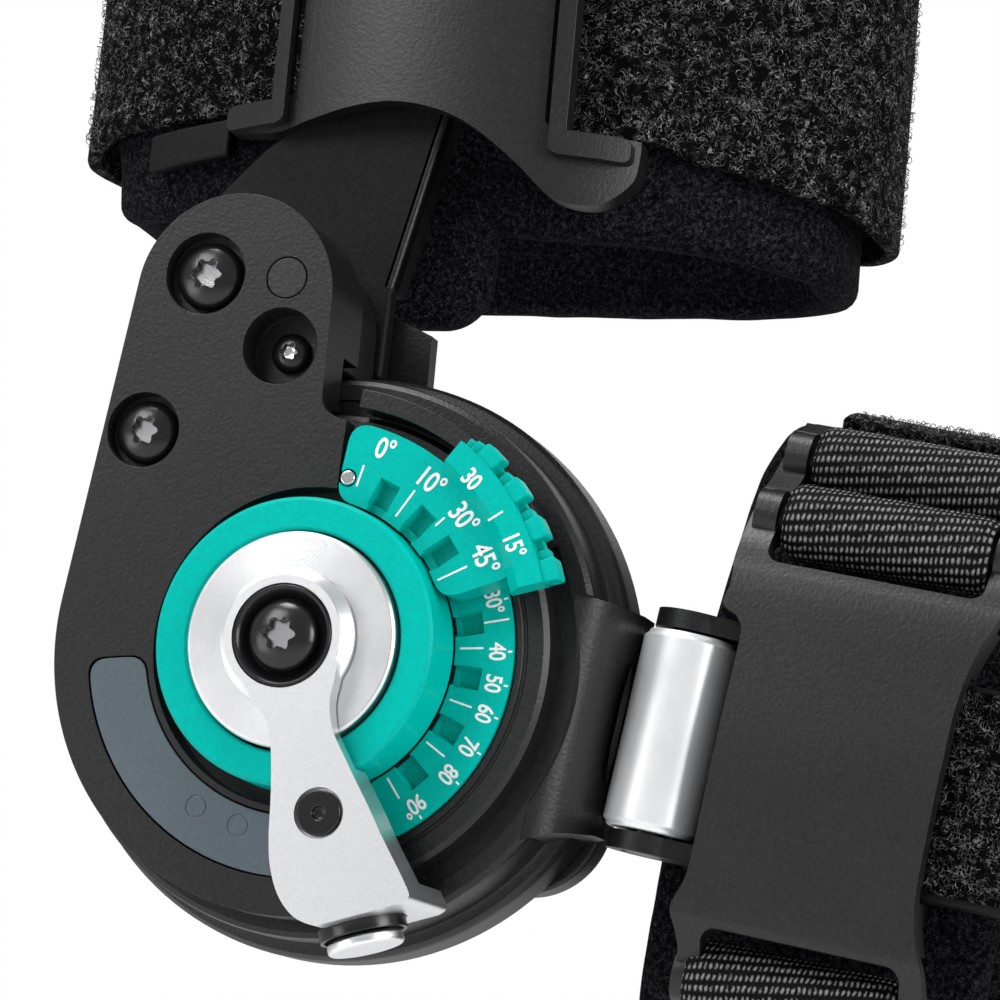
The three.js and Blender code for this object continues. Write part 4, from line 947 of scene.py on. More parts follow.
ring_profile = [
    (BORE_R, 9.0), (24.9, 9.0), (25.1, 9.3), (25.4, 9.3), (25.6, 9.0), (27.4, 9.0), (28.0, 9.6), (28.0, 12.5),
    (30.3, 12.5), (30.4, 12.1), (32.2, 12.1), (32.8, 12.6), (33.0, 13.6), (33.0, 19.5), (33.4, 19.7),
    (34.2, 19.8), (34.7, 20.6), (34.8, 21.6), (34.8, 26.3), (34.4, 26.7), (BORE_R, 26.7),
]
housing = turned("link_rings", ring_profile, 144)
ARM_END = 34.0
ARM_EDGES = [(20.0, -21.6), (24.0, -19.3), (26.5, -17.1), (29.0, -15.5), (31.5, -14.2), (ARM_END, -13.3),
             (ARM_END, 12.8), (20.0, 13.1)]
FLANK = smoothed([(28.2, 12.6), (29.6, 13.3), (31.0, 14.6), (32.4, 17.2), (33.3, 19.8), (ARM_END, 21.8)], 4)
flank_room = prism("flank_room", [fore(a, d, -30) for a, d in [(28.2, 8)] + FLANK + [(40, 21.8), (40, 8)]],
                   UP * 60 * MM)
CLEAR = 0.06
wider = [(a + (CLEAR if a == ARM_END else 0), b + math.copysign(CLEAR, b)) for a, b in ARM_EDGES]
carve(flank_room, fore_plate("arm_edges", wider, 5, 30), operation="INTERSECT")
carve(flank_room, drum("band_kept", 30.5, 5, 30))
arm_block = fore_plate("arm_block", ARM_EDGES, 12.7, 26.55)
cradle = prism("cradle", [fore(a, d, -11.3) for a, d in (
    (31.0, 23.0), (36.6, 25.4), (37.9, 27.6), (37.9, 30.8), (33.8, 27.2), (31.0, 26.3))],
    UP * 22.6 * MM)
carve(housing, arm_block, cradle, operation="UNION")
carve(housing, flank_room)
carve(housing, barrel_rod("barrel_room", 5.9, -24, 48, 64))
carve(housing, plate("scale_bed", sector(17.1, 24.3, -61.0, 32.2, 0, 60), 8.0, 10.5))
soften(housing, 0.3, 3, 30, 38)
done(housing, BLACK, "link", "link_arm", slot="black_plastic")

# %% [markdown]
# ## Bars, back plates and the barrel
#
# Behind the hinge lie flat parts of moulded nylon: the link's plate, a block behind the cover's lobe,
# the upper arm's bar with its flange, and a back plate. Flat stock is an outline, an extrusion and a
# bevel. The barrel is turned aluminium, so it is a profile spun round its own axis.

# %% Plates of the link and the upper bar
link_plate = fore_plate(
    "link_plate",
    [(-13.9, -15.7), (-1.9, -21.7)] + arc(23.5, -11.9, 9.8, -90, 0, 20) + arc(29.3, 8.8, 4.0, 0, 90, 8)
    + [(-13.9, 12.8)], 27.0, 31.8)
carve(link_plate, drum("bore", BORE_R, 26, 33))
done(soften(link_plate, 0.5, 3), BLACK, "link", "link_back_plate", slot="black_plastic")

block = plate("lobe_block", arc(-13.2, 41.3, 10.0, 0, 180, 48) + [(-24.9, 28.6), (-3.2, 34.6)], 17.3, 29.3)
carve(block, drum("link_room", 35.3, 16, 30))
done(soften(block, 0.4, 3), BLACK, "upper", "cover_block", slot="black_plastic")

bar_outline = [(-21, 36.7), (-2.4, 36.7), (-2.1, 47.7), (3.6, 72), (3.6, 122), (0.6, 125), (-9.6, 125),
               (-12.6, 122), (-12.6, 74), (-15.5, 70), (-20.6, 65.6), (-27.0, 58.6), (-27.0, 50), (-22.0, 42)]
UPPER_BAR_FACE = 29.6
upper_flat = plate("upper_flat_bar", bar_outline, UPPER_BAR_FACE, 32.6)
flange_outline = [(-3.7, 47.9), (-2.1, 47.7), (3.6, 72), (3.6, 90), (2.0, 90), (2.0, 72.2)]
flange = plate("flange", flange_outline, UPPER_BAR_FACE, 35.3)
for height in (61.5, 54.8):
    notch = plate("notch", [(-2.6 + (height - 47.7) * 0.2346 + x, height + z) for x, z in (
        (1.0, -0.5), (4.0, -0.5), (4.0, 0.6), (1.0, 0.6))], 30.9, 33.2)
    carve(flange, notch)
# The flat bar takes the darker matt black as painted shade, for the shade that the shell casts on it. Its
# flange, of the same moulding, keeps the lighter and glossier shell black as painted light on its lit edge.
done(soften(upper_flat, 0.7, 3), MATT_SHADED_BLACK, "upper", "upper_bar", slot="black_plastic")
done(soften(flange, 0.55, 3), SHELL_BLACK, "upper", slot="black_plastic")

BACK_NEAR, BACK_FAR = 32.9, 35.4
tail_outline = [(-17, 0), (2.6, 0), (2.6, 43), (-4, 46), (-4, 61.5), (-17, 61.5)]
tail = plate("back_tail", tail_outline, BACK_NEAR, BACK_FAR)
back_disc = turned("back_disc", [
    (BORE_R, BACK_NEAR), (20, BACK_NEAR), (20, BACK_FAR), (BORE_R, BACK_FAR)], 96)
carve(tail, drum("bore", BORE_R, 32, 36))
carve(back_disc, tail, operation="UNION")
done(soften(back_disc, 0.4, 3), BLACK, "upper", "hinge_back_plate", slot="black_plastic")

# %% Barrel and pin
BARREL_AXIS = fore(*BARREL_AT, 0)


def about_barrel(name, profile, steps=96):
    """A profile of (radius, up) turned about the barrel's axis."""
    along, depth = BARREL_AT
    return spun(name, [fore(along + r, depth, b) for r, b in profile], BARREL_AXIS, UP, steps)


BARREL_METAL = turned_metal("turned_barrel", (0.86, 0.87, 0.89), 0.34, BARREL_AXIS, (0, DROP, 0), 900.0, "Z")
BARREL_METAL.node_tree.nodes["Principled BSDF"].inputs["Metallic"].default_value = 0.55
barrel = about_barrel("barrel_tube", [
    (2.7, -11.65), (4.9, -11.65), (5.1, -11.5), (5.15, -11.2), (5.6, -10.8), (5.6, 10.8), (5.15, 11.2),
    (5.1, 11.5), (4.9, 11.65), (2.7, 11.65)], 128)
done(soften(barrel, 0.1, 2, 40, 40), BARREL_METAL, "link", "barrel", slot="silver_metal")
pin = about_barrel("barrel_axle", [(0, -14.2), (2.4, -14.2), (2.4, 14.2), (0, 14.2)], 48)
done(soften(pin, 0.3, 3), SCREW, "link", "barrel_pin", slot="dark_steel")

# %% [markdown]
# ## The upper arm's shell
#
# The shell is a moulded plate bent round the arm, cut out at the hinge in a long arch, with a slot on
# each side for the strap. It starts as a bent strip of even thickness, extruded upwards, and a traced
# outline cuts it to shape. The bright line along the arch comes from the bevel.

# %% Shell and its rails
SHELL_MIDDLE = 70.5


def bent_strip(name, radius, thickness, half, low, high, steps=96):
    """A plate bent about an upright line behind the shell."""
    lean = math.degrees(math.asin(half / radius))
    front = arc(0, SHELL_MIDDLE, radius, -90 - lean, -90 + lean, steps)
    back = arc(0, SHELL_MIDDLE, radius - thickness, -90 + lean, -90 - lean, steps)
    return prism(name, [hinge(x, d, low) for x, d in front + back], (0, 0, (high - low) * MM))


arch = smoothed([
    (-26.5, 68.7), (-19.0, 67.5), (-14.0, 68.6), (-8.1, 70.0), (-2.2, 70.5), (3.8, 69.4), (8.6, 67.0),
    (13.5, 63.2), (17.8, 59.5), (22.7, 59.3), (26.3, 62.6), (27.0, 66.3)], 8)
shell_outline = arch + [
    (27, 68), (17.2, 68), (16.2, 69), (16.2, 120), (17.2, 121), (27, 121), (25, 125), (16.2, 128),
    (-16.2, 128), (-25, 125), (-27, 121), (-17.2, 121), (-16.2, 120), (-16.2, 73.4), (-16.6, 72.3),
    (-17.6, 71.8), (-27, 71.8)]
shell = bent_strip("upper_shell_skin", 46, 2.8, 34, 50, 131)
carve(shell, plate("shell_outline", shell_outline, 20, 60), operation="INTERSECT")
for left, right in ((-14.7, -12.9), (3.9, 5.7)):
    carve(shell, plate("rail", [(left, 74), (right, 74), (right, 122), (left, 122)], 26.9, 32.6),
          operation="UNION")
soften(shell, 0.55, 4, 40, 40)
done(shell, SHELL_BLACK, "upper", "upper_shell", slot="black_plastic")

# %% Side bars of the slots
for side, node in ((1, "side_bar_front"), (-1, "side_bar_rear")):
    bar = bent_strip(f"slot_bar_{'front' if side > 0 else 'rear'}", 47.7, 2.6, 31, 60, 129)
    shape = plate("shape", rounded(17.2, 19.2, 64.8 if side > 0 else 68.4, 124.2, 0.8), 20, 60)
    foot_rise = 0.0 if side > 0 else 3.6
    carve(shape, plate("foot", rounded(17.4, 26.4, 64.6 + foot_rise, 67.7 + foot_rise, 1.0), 20, 60),
          plate("head", rounded(17.4, 26.4, 121.3, 124.4, 1.0), 20, 60), operation="UNION")
    if side < 0:
        pick(shape)
        bpy.ops.transform.mirror(constraint_axis=(True, False, False), center_override=hinge(0, 0, 0))
        edit(shape, outwards)
    carve(bar, shape, operation="INTERSECT")
    done(soften(bar, 0.45, 3), SHELL_BLACK, "upper", node, slot="black_plastic")

# %% [markdown]
# ## Fabrics
#
# Three fabrics meet here: loop pile on the straps, short velour on the pads and knitted elastic on the
# rolls. Pile is a tangle of thin bright threads over a black ground. The lines where a noise crosses
# one level look just like such threads, so two noises at different levels give the tangle, and bump
# lifts it. The knit is two crossed waves, laid by the UV map of each roll.

# %% Fabric finishes


def threads(finish, where, scale, level, width, twist):
    """Thin curly lines where a twisted noise crosses a level."""
    noise = add_node(finish, "ShaderNodeTexNoise", {
        "Vector": where, "Scale": scale, "Detail": 1.0, "Distortion": twist})
    away = add_node(finish, "ShaderNodeMath", {0: noise.outputs["Fac"], 1: level}, operation="SUBTRACT")
    size = add_node(finish, "ShaderNodeMath", {0: away.outputs[0]}, operation="ABSOLUTE")
    line = add_node(finish, "ShaderNodeMapRange", {
        "Value": size.outputs[0], "From Min": 0.0, "From Max": width, "To Min": 1.0, "To Max": 0.0})
    return line.outputs["Result"]


def piled(name, ground, thread, scale, width, relief):
    """Pile: curly threads over a dark ground."""
    finish, shader, where = new_finish(name, ground, 0.92)
    shader.inputs["Specular IOR Level"].default_value = 0.06
    first = threads(finish, where, scale, 0.5, width, 1.6)
    second = threads(finish, where, scale * 1.37, 0.44, width, 1.1)
    both = add_node(finish, "ShaderNodeMath", {0: first, 1: second}, operation="MAXIMUM")
    patch = add_node(finish, "ShaderNodeTexNoise", {"Vector": where, "Scale": scale * 0.8, "Detail": 2.0})
    lit = add_node(finish, "ShaderNodeMapRange", {
        "Value": patch.outputs["Fac"], "From Min": 0.34, "From Max": 0.68, "To Min": 0.12, "To Max": 1.0})
    height = add_node(finish, "ShaderNodeMath", {0: both.outputs[0], 1: lit.outputs["Result"]},
                      operation="MULTIPLY")
    plug(finish, ramp(finish, height.outputs[0], ground, thread, 0.15, 0.95), shader.inputs["Base Color"])
    bump(finish, shader, height.outputs[0], 0.9, relief)
    return finish


LOOPS = piled("loop_pile", (0.0008, 0.0008, 0.001), (0.36, 0.36, 0.37), 760, 0.034, 0.00045)
VELOUR = piled("short_velour", (0.0012, 0.0011, 0.002), (0.12, 0.115, 0.14), 2100, 0.05, 0.0003)


def knitted(name, ground, thread, length, width, stitch, row):
    """Knitted elastic: rows of short slanted stitches, laid by the piece's own UV map."""
    finish, shader = new_finish(name, ground, 0.6)[:2]
    shader.inputs["Specular IOR Level"].default_value = 0.1
    own = add_node(finish, "ShaderNodeUVMap", uv_map="UVMap")
    laid = add_node(finish, "ShaderNodeMapping", {
        "Vector": own.outputs["UV"], "Scale": (length / stitch, width / row, 1)})
    grain = add_node(finish, "ShaderNodeTexNoise", {
        "Vector": laid.outputs["Vector"], "Scale": 1.1, "Detail": 2.0})
    wander = add_node(finish, "ShaderNodeMixRGB", {
        "Fac": 0.7, "Color1": laid.outputs["Vector"], "Color2": grain.outputs["Color"]}, blend_type="ADD")
    way = add_node(finish, "ShaderNodeSeparateXYZ", {"Vector": wander.outputs["Color"]})
    slanted = add_node(finish, "ShaderNodeMath", {0: way.outputs["Y"], 1: 0.18, 2: way.outputs["X"]},
                       operation="MULTIPLY_ADD")
    peaks = []
    for place, share in ((slanted.outputs[0], 0.5), (way.outputs["Y"], 1.0)):
        turn = add_node(finish, "ShaderNodeMath", {0: place, 1: math.tau * share}, operation="MULTIPLY")
        wave = add_node(finish, "ShaderNodeMath", {0: turn.outputs[0]}, operation="SINE")
        peaks.append(add_node(finish, "ShaderNodeMath", {0: wave.outputs[0], 1: 0.5, 2: 0.5},
                              operation="MULTIPLY_ADD").outputs[0])
    stitches = add_node(finish, "ShaderNodeMath", {0: peaks[0], 1: peaks[1]}, operation="MULTIPLY")
    fleck = add_node(finish, "ShaderNodeMapRange", {
        "Value": grain.outputs["Fac"], "From Min": 0.3, "From Max": 0.65, "To Min": 0.35, "To Max": 1.0})
    lit = add_node(finish, "ShaderNodeMath", {0: stitches.outputs[0], 1: fleck.outputs["Result"]},
                   operation="MULTIPLY")
    plug(finish, ramp(finish, lit.outputs[0], ground, thread, 0.12, 0.6), shader.inputs["Base Color"])
    bump(finish, shader, stitches.outputs[0], 0.8, 0.0003)
    return finish


print("fabrics: loop pile, velour, knit")

# %% [markdown]
# ## The cuffs' straps
#
# Both cuffs follow a rounded oval. A strap is a grid laid round that oval at its own height, given
# thickness with Solidify. Its flat length is measured along its middle, so the fabric is exactly as
# long as the way it goes.

# %% Ovals of the cuffs


def oval(half_u, half_v, power, turn, out):
    """A point on a rounded oval, moved out along its normal."""
    c, s = math.cos(turn), math.sin(turn)
    u = math.copysign(half_u * abs(c) ** (2 / power), c)
    v = math.copysign(half_v * abs(s) ** (2 / power), s)
    nu = math.copysign(abs(u / half_u) ** (power - 1) / half_u, u)
    nv = math.copysign(abs(v / half_v) ** (power - 1) / half_v, v)
    size = math.hypot(nu, nv)
    return (u + out * nu / size, v + out * nv / size)


UPPER_MIDDLE = (2.0, 56.7)
UPPER_HALF = (50.2, 21.0)
REAR_STRETCH = 1.07
FORE_MIDDLE = 55.7
FORE_HALF = (44.0, 26.2)


def round_upper(turn, out, height):
    """A point round the upper arm's cuff, whose rear end is a little longer."""
    u, v = oval(*UPPER_HALF, 2.6, turn, out)
    return hinge(UPPER_MIDDLE[0] + (u * REAR_STRETCH if u < 0 else u), UPPER_MIDDLE[1] + v, height)


def round_fore(turn, out, along):
    """A point round the forearm's cuff."""
    u, v = oval(*FORE_HALF, 2.5, turn, out)
    return fore(along, FORE_MIDDLE + v, u)


def level(line, turn):
    """The height on a line of (degrees, height) at a turn."""
    degrees = math.degrees(turn)
    for (a, low), (b, high) in zip(line, line[1:]):
        if degrees <= b:
            share = max(0.0, (degrees - a) / (b - a))
            share = share * share * (3 - 2 * share)
            return low + (high - low) * share
    return line[-1][1]


FINE_STEPS = 2000


def even_turns(place, start, end, count):
    """Turns round an oval at even distances, and the whole distance in metres."""
    turns = [start + (end - start) * i / FINE_STEPS for i in range(FINE_STEPS + 1)]
    spots = [place(t) for t in turns]
    way = [0.0]
    for a, b in zip(spots, spots[1:]):
        way.append(way[-1] + (b - a).length)
    picked = []
    at = 0
    for i in range(count + 1):
        goal = way[-1] * i / count
        while at < FINE_STEPS and way[at + 1] < goal:
            at += 1
        picked.append(turns[at])
    return picked, way[-1]


def laid_grid(name, columns, rows, place):
    """A grid whose vertices are laid by place(column, row)."""
    bpy.ops.object.select_all(action="DESELECT")
    bpy.ops.mesh.primitive_grid_add(x_subdivisions=columns, y_subdivisions=rows, size=1, calc_uvs=True)
    obj = bpy.context.active_object
    obj.name = name
    for vertex in obj.data.vertices:
        column = round((vertex.co.x + 0.5) * columns)
        row = round((vertex.co.y + 0.5) * rows)
        vertex.co = place(column, row)
    return obj


print("round the upper cuff", [round(v, 3) for v in round_upper(0, 0, 90)])

# %% Upper strap
STRAP_LINE = [(-76, 68.4), (-66, 68.3), (-57, 66.3), (-30, 63.0), (0, 61.2), (90, 66.0), (180, 69.0),
              (240, 71.6), (256, 72.6)]
STRAP_WIDTH = 48.0
STRAP_WALL = 1.9
STRAP_IN = 0.35
STRAP_MIDDLE = 1.3
PILE_OUT = 2.35
STRAP_COLUMNS, STRAP_ROWS = 220, 24
gap = math.acos((14.2 / UPPER_HALF[0]) ** 1.3)
strap_turns, strap_length = even_turns(
    lambda t: round_upper(t, STRAP_MIDDLE, 90), -gap, math.pi + gap, STRAP_COLUMNS)
print("upper strap flat length", round(strap_length, 4))


def strap_spot(out):
    """Where the strap's surface lies, with a slight hand-made wave."""
    def spot(column, row):
        turn = strap_turns[column]
        share = row / STRAP_ROWS
        wave = 0.25 * math.sin(turn * 5.0) * math.sin(share * math.pi)
        low = level(STRAP_LINE, turn) + 0.25 * math.sin(turn * 9.0)
        return round_upper(turn, out + wave, low + STRAP_WIDTH * share)
    return spot


strap = laid_grid("loop_strap", STRAP_COLUMNS, STRAP_ROWS, strap_spot(STRAP_IN))
facing(strap, hinge(*UPPER_MIDDLE, 90))
modify(strap, "SOLIDIFY", thickness=STRAP_WALL * MM, offset=1.0)
done(soften(strap, 0.4, 2, 50, 60), LOOPS, "upper", "upper_strap", slot="webbing")

# %% [markdown]
# Real loop pile stands up from the strap and breaks its outline. One tiny ring is modelled and a
# Geometry Nodes modifier scatters thousands of its copies over the strap's outer face, each turned by
# chance from a fixed seed. The modifier is applied, so the pile is plain mesh.

# %% Pile of loops


def scatter(name, face, ring, per_area, seed):
    """Copies of ring over a face, made real; the ring itself is used up."""
    tree = bpy.data.node_groups.new(name, "GeometryNodeTree")
    tree.interface.new_socket("Geometry", in_out="INPUT", socket_type="NodeSocketGeometry")
    tree.interface.new_socket("Geometry", in_out="OUTPUT", socket_type="NodeSocketGeometry")
    start = tree.nodes.new("NodeGroupInput")
    end = tree.nodes.new("NodeGroupOutput")
    points = tree.nodes.new("GeometryNodeDistributePointsOnFaces")
    points.inputs["Density"].default_value = per_area
    points.inputs["Seed"].default_value = seed
    turn = tree.nodes.new("FunctionNodeRandomValue")
    turn.data_type = "FLOAT_VECTOR"
    turn.inputs["Min"].default_value = (0, 0, 0)
    turn.inputs["Max"].default_value = (6.28, 6.28, 6.28)
    turn.inputs["Seed"].default_value = seed + 1
    size = tree.nodes.new("FunctionNodeRandomValue")
    size.inputs[2].default_value = 0.65
    size.inputs[3].default_value = 1.25
    size.inputs["Seed"].default_value = seed + 2
    copies = tree.nodes.new("GeometryNodeInstanceOnPoints")
    source = tree.nodes.new("GeometryNodeObjectInfo")
    source.inputs["Object"].default_value = ring
    real = tree.nodes.new("GeometryNodeRealizeInstances")
    link = tree.links.new
    link(start.outputs[0], points.inputs["Mesh"])
    link(points.outputs["Points"], copies.inputs["Points"])
    link(source.outputs["Geometry"], copies.inputs["Instance"])
    link(turn.outputs[0], copies.inputs["Rotation"])
    link(size.outputs[1], copies.inputs["Scale"])
    link(copies.outputs["Instances"], real.inputs["Geometry"])
    link(real.outputs["Geometry"], end.inputs[0])
    modify(face, "NODES", node_group=tree)
    bpy.data.objects.remove(ring)
    face.name = name
    return smooth_all(face)


def thread_ring(radius, thickness):
    """One small open loop of thread at the origin."""
    bpy.ops.object.select_all(action="DESELECT")
    bpy.ops.mesh.primitive_torus_add(major_segments=7, minor_segments=3, major_radius=radius * MM,
                                     minor_radius=thickness * MM)
    return bpy.context.active_object


THREAD, thread_shader, thread_where = new_finish("pile_thread", (0.045, 0.045, 0.048), 0.45)
shade_noise = add_node(THREAD, "ShaderNodeTexNoise", {"Vector": thread_where, "Scale": 2400.0})
shades = ramp(THREAD, shade_noise.outputs["Fac"], (0.0015, 0.0015, 0.002), (0.34, 0.34, 0.35), 0.50, 0.68)
plug(THREAD, shades, thread_shader.inputs["Base Color"])

ring = thread_ring(0.42, 0.05)
strap_face = laid_grid("strap_face", STRAP_COLUMNS, STRAP_ROWS, lambda c, r: strap_spot(PILE_OUT)(
    c, min(max(r, 0.7), 23.3)))
strap_pile = scatter("strap_pile", strap_face, ring, 400000, 5)
print("loops' faces", len(strap_pile.data.polygons))
done(strap_pile, THREAD, "upper", "upper_strap", slot="webbing")

# %% [markdown]
# ## The upper pad
#
# The pad is soft foam in velour, a ring with rounded edges and a flap that hangs behind the hinge.
# A grid is wrapped round the oval one way and round the pad's own section the other way, its seams are
# merged, and the foam is given a slight wander with Displace.

# %% Upper pad


def pad_section(low, high, thick, crown, sides=14):
    """The closed section of a pad, as (out, height): rounded edges and crowned sides."""
    r = thick / 2
    points = [(-r + r * math.sin(math.radians(t)), low + r - r * math.cos(math.radians(t)))
              for t in range(-90, 91, 18)]
    points += [(crown * math.sin(math.pi * i / sides), low + r + (high - low - thick) * i / sides)
               for i in range(1, sides)]
    points += [(-r + r * math.sin(math.radians(t)), high - r - r * math.cos(math.radians(t)))
               for t in range(90, 271, 18)]
    points += [(-thick - crown * 0.6 * math.sin(math.pi * i / sides),
                high - r - (high - low - thick) * i / sides) for i in range(1, sides)]
    return points


SECTION_STEPS = len(pad_section(0, 10, 5, 0.3))
PAD_LINE = [(0, 54.6), (90, 55.7), (180, 61.4), (255, 58.5), (290, 56.4), (330, 54.4), (360, 53.7)]


def wrapped(name, around, place):
    """A grid wrapped into a closed ring with a closed section."""
    obj = laid_grid(name, around, SECTION_STEPS, place)
    return edit(obj, lambda: bpy.ops.mesh.remove_doubles(threshold=0.00001), outwards)


def wandering(obj, size, amount):
    """Lets a surface wander a little, as foam under cloth does."""
    cloud = bpy.data.textures.new(f"{obj.name}_wander", "CLOUDS")
    cloud.noise_scale = size * MM
    cloud.noise_depth = 1
    return modify(obj, "DISPLACE", texture=cloud, strength=amount * MM, mid_level=0.5, texture_coords="LOCAL")


PAD_COLUMNS = 200
PAD_THICK = 4.8
WANDER = 9.0
pad_turns, pad_length = even_turns(lambda t: round_upper(t, 0, 90), 0, math.tau, PAD_COLUMNS)
print("round the upper pad", round(pad_length, 4))


def tucked(turn, height):
    """How far the pad's two ends lie inside the strap, where it hangs below it."""
    front = math.exp(-((math.remainder(turn, math.tau)) / 0.55) ** 2)
    rear = math.exp(-((turn - math.pi) / 0.55) ** 2)
    return (2.8 * front + 3.4 * rear) * max(0.0, min(1.0, (78 - height) / 12))


def upper_pad_spot(column, row):
    turn = pad_turns[column % PAD_COLUMNS]
    out, height = pad_section(level(PAD_LINE, turn), 134, PAD_THICK, 0.0)[row % SECTION_STEPS]
    return round_upper(turn, out - 0.1 - tucked(turn, height), height)


upper_pad = wrapped("velour_pad", PAD_COLUMNS, upper_pad_spot)
smooth_all(wandering(upper_pad, WANDER, 0.5))
done(upper_pad, VELOUR, "upper", "upper_pad", slot="pad_cloth")

# %% Flap
flap_outline = (
    [(-15.6, 62.5), (-15.6, 50.0)]
    + arc(-10.6, 50.0, 5.0, 180, 270, 10)[1:]
    + arc(2.0, 51.2, 6.1, 270, 355, 12)
    + [(8.3, 58.0), (8.5, 66.0)]
)
flap = plate("velour_flap", flap_outline, 35.8, 40.9)
modify(flap, "BEVEL", width=1.9 * MM, segments=6, limit_method="ANGLE", angle_limit=math.radians(40))
edit(flap, lambda: bpy.ops.mesh.quads_convert_to_tris(),
     lambda: bpy.ops.mesh.subdivide(number_cuts=2))
done(smooth_all(flap), VELOUR, "upper", "upper_pad", slot="pad_cloth")

# %% [markdown]
# A bent clip of matt plastic holds the strap's rear end. It follows the oval below the strap. Its black is
# darker than the grained black, as painted shade.

# %% Rear clip
clip_turns = [math.pi + 0.80 + 0.30 * i / 24 for i in range(25)]
clip = laid_grid("rear_clip", 24, 6, lambda c, r: round_upper(
    clip_turns[c], 0.5, 66.4 + 4.8 * r / 6 - 1.6 * (1 - c / 24)))
facing(clip, hinge(*UPPER_MIDDLE, 65))
modify(clip, "SOLIDIFY", thickness=1.8 * MM, offset=1.0)
done(soften(clip, 0.6, 3, 50, 50), MATT_SHADED_BLACK, "upper", slot="black_plastic")

# %% [markdown]
# ## The forearm
#
# The forearm's bar carries loop fabric on its face and slides through a saddle of moulded plastic. The
# saddle's plate bends back above and below to rails, between which elastic webbing runs round rods.
# Its section is a smooth line given thickness, extruded along the forearm and cut to outline.

# %% Forearm bar and its fabric
forearm_bar = fore_plate("forearm_flat_bar", rounded(48.2, 104, -12.4, 12.4, 3.0), 22.3, 29.2)
EAR = 2.2
for low in (-14.2, 12.0):
    eye = barrel_rod("eye", 4.6, low, EAR, 48)
    web = prism("web", [fore(a, d, low) for a, d in (
        (39.9, 18.4), (51.1, 22.3), (51.1, 29.2), (46.0, 29.2), (39.9, 27.6))], UP * EAR * MM)
    carve(forearm_bar, eye, web, operation="UNION")
carve(forearm_bar, barrel_rod("pin_hole", 2.7, -20, 40, 32))
done(soften(forearm_bar, 0.35, 3), BLACK, "cuff", "forearm_bar", slot="black_plastic")

BAR_FABRIC_LENGTH, BAR_FABRIC_WIDTH = 52.4, 23.4
FABRIC_COLUMNS, FABRIC_ROWS = 40, 18
bar_fabric = laid_grid("bar_loop_fabric", FABRIC_COLUMNS, FABRIC_ROWS, lambda c, r: fore(
    49.6 + BAR_FABRIC_LENGTH * c / FABRIC_COLUMNS, 21.9,
    -BAR_FABRIC_WIDTH / 2 + BAR_FABRIC_WIDTH * r / FABRIC_ROWS))
facing(bar_fabric, fore(75, 40, 0))
modify(bar_fabric, "SOLIDIFY", thickness=1.2 * MM, offset=1.0)
done(soften(bar_fabric, 0.3, 2, 50, 60), LOOPS, "cuff", "bar_fabric", slot="webbing")
fabric_face = laid_grid("fabric_face", FABRIC_COLUMNS, FABRIC_ROWS, lambda c, r: fore(
    50.0 + 51.6 * c / FABRIC_COLUMNS, 20.6, -11.1 + 22.2 * r / FABRIC_ROWS))
fabric_pile = scatter("fabric_pile", fabric_face, thread_ring(0.34, 0.04), 700000, 31)
done(fabric_pile, THREAD, "cuff", "bar_fabric", slot="webbing")

# %% Saddle of the forearm
RODS = {"front": (23.28, 27.28), "rear": (31.27, 35.86), "low": (24.46, -26.4)}
SHELL_LINE = [
    (-31.7, 29.4), (-29.0, 25.5), (-24.6, 20.8), (-21.0, 18.1), (-18.5, 17.4), (-9.7, 17.0), (0, 16.6),
    (9.7, 16.9), (18.0, 17.4), (21.2, 18.4), (24.6, 20.0), (29.9, 24.2), (33.4, 28.1), (37.8, 32.8),
    (41.4, 37.6),
]
outer = smoothed(SHELL_LINE, 8)
SHELL_WALL = 2.6
inner = []
for i, (b, d) in enumerate(outer):
    before, after = outer[max(i - 1, 0)], outer[min(i + 1, len(outer) - 1)]
    run = math.hypot(after[0] - before[0], after[1] - before[1])
    spot = (b - SHELL_WALL * (after[1] - before[1]) / run, d + SHELL_WALL * (after[0] - before[0]) / run)
    if min(math.dist(spot, point) for point in outer) > SHELL_WALL - 0.02:
        inner.append(spot)
saddle = prism("forearm_saddle", [fore(43.6, d, b) for b, d in outer + inner[::-1]], ALONG * 33.0 * MM)
saddle_outline = (
    [(46.6, -42), (75.6, -42), (75.9, -30), (75.6, -23)]
    + smoothed([(75.6, -23), (75.2, -20.6), (74.0, -17.4), (73.1, -13.0), (72.9, -6), (72.9, 4), (73.0, 9.5),
                (73.8, 14.6), (75.4, 19.4), (76.1, 22.2)], 5)[1:]
    + [(76.2, 42), (43.8, 42), (43.8, 21.2)]
    + smoothed([(43.8, 21.2), (44.3, 18.2), (43.9, 16.0), (44.5, 15.1), (45.8, 14.5), (46.7, 13.4),
                (46.9, 11.8)], 4)[1:]
    + smoothed([(46.9, -13.5), (46.7, -16.2), (45.7, -19.4), (46.5, -21.8), (47.0, -24.0), (46.6, -26.2),
                (46.2, -28.5), (46.6, -31)], 4))
carve(saddle, fore_plate("saddle_outline", saddle_outline, 0, 60), operation="INTERSECT")
print("saddle outline cut, faces", len(saddle.data.polygons))
for window in (rounded(47.3, 73.0, 21.6, 50, 1.6), rounded(49.6, 73.0, -50, -20.8, 1.8)):
    carve(saddle, fore_plate("window", window, 0, 60))
for along in (44.4, 73.0):
    for depth, up in RODS.values():
        start = along if up > 0 or along > 60 else 46.6
        width = 2.8 if along < 60 else 2.6
        carve(saddle, fore_rod("cheek", start, depth, up, 3.3, width), operation="UNION")
LIP_HALF, LIP_WALL, LIP_BACK = 19.0, 2.0, 23.4
edge = [p for p in saddle_outline if 70 < p[0] < 76 and abs(p[1]) < LIP_HALF]
lip_outline = [(a - 0.1, b) for a, b in edge] + [(a - LIP_WALL, b) for a, b in edge[::-1]]
lip = fore_plate("lip", lip_outline, 18.2, LIP_BACK)
carve(lip, fore_plate("bar_way", rounded(60, 90, -13.0, 13.0, 0.5), 20.2, 30))
carve(saddle, lip, operation="UNION")
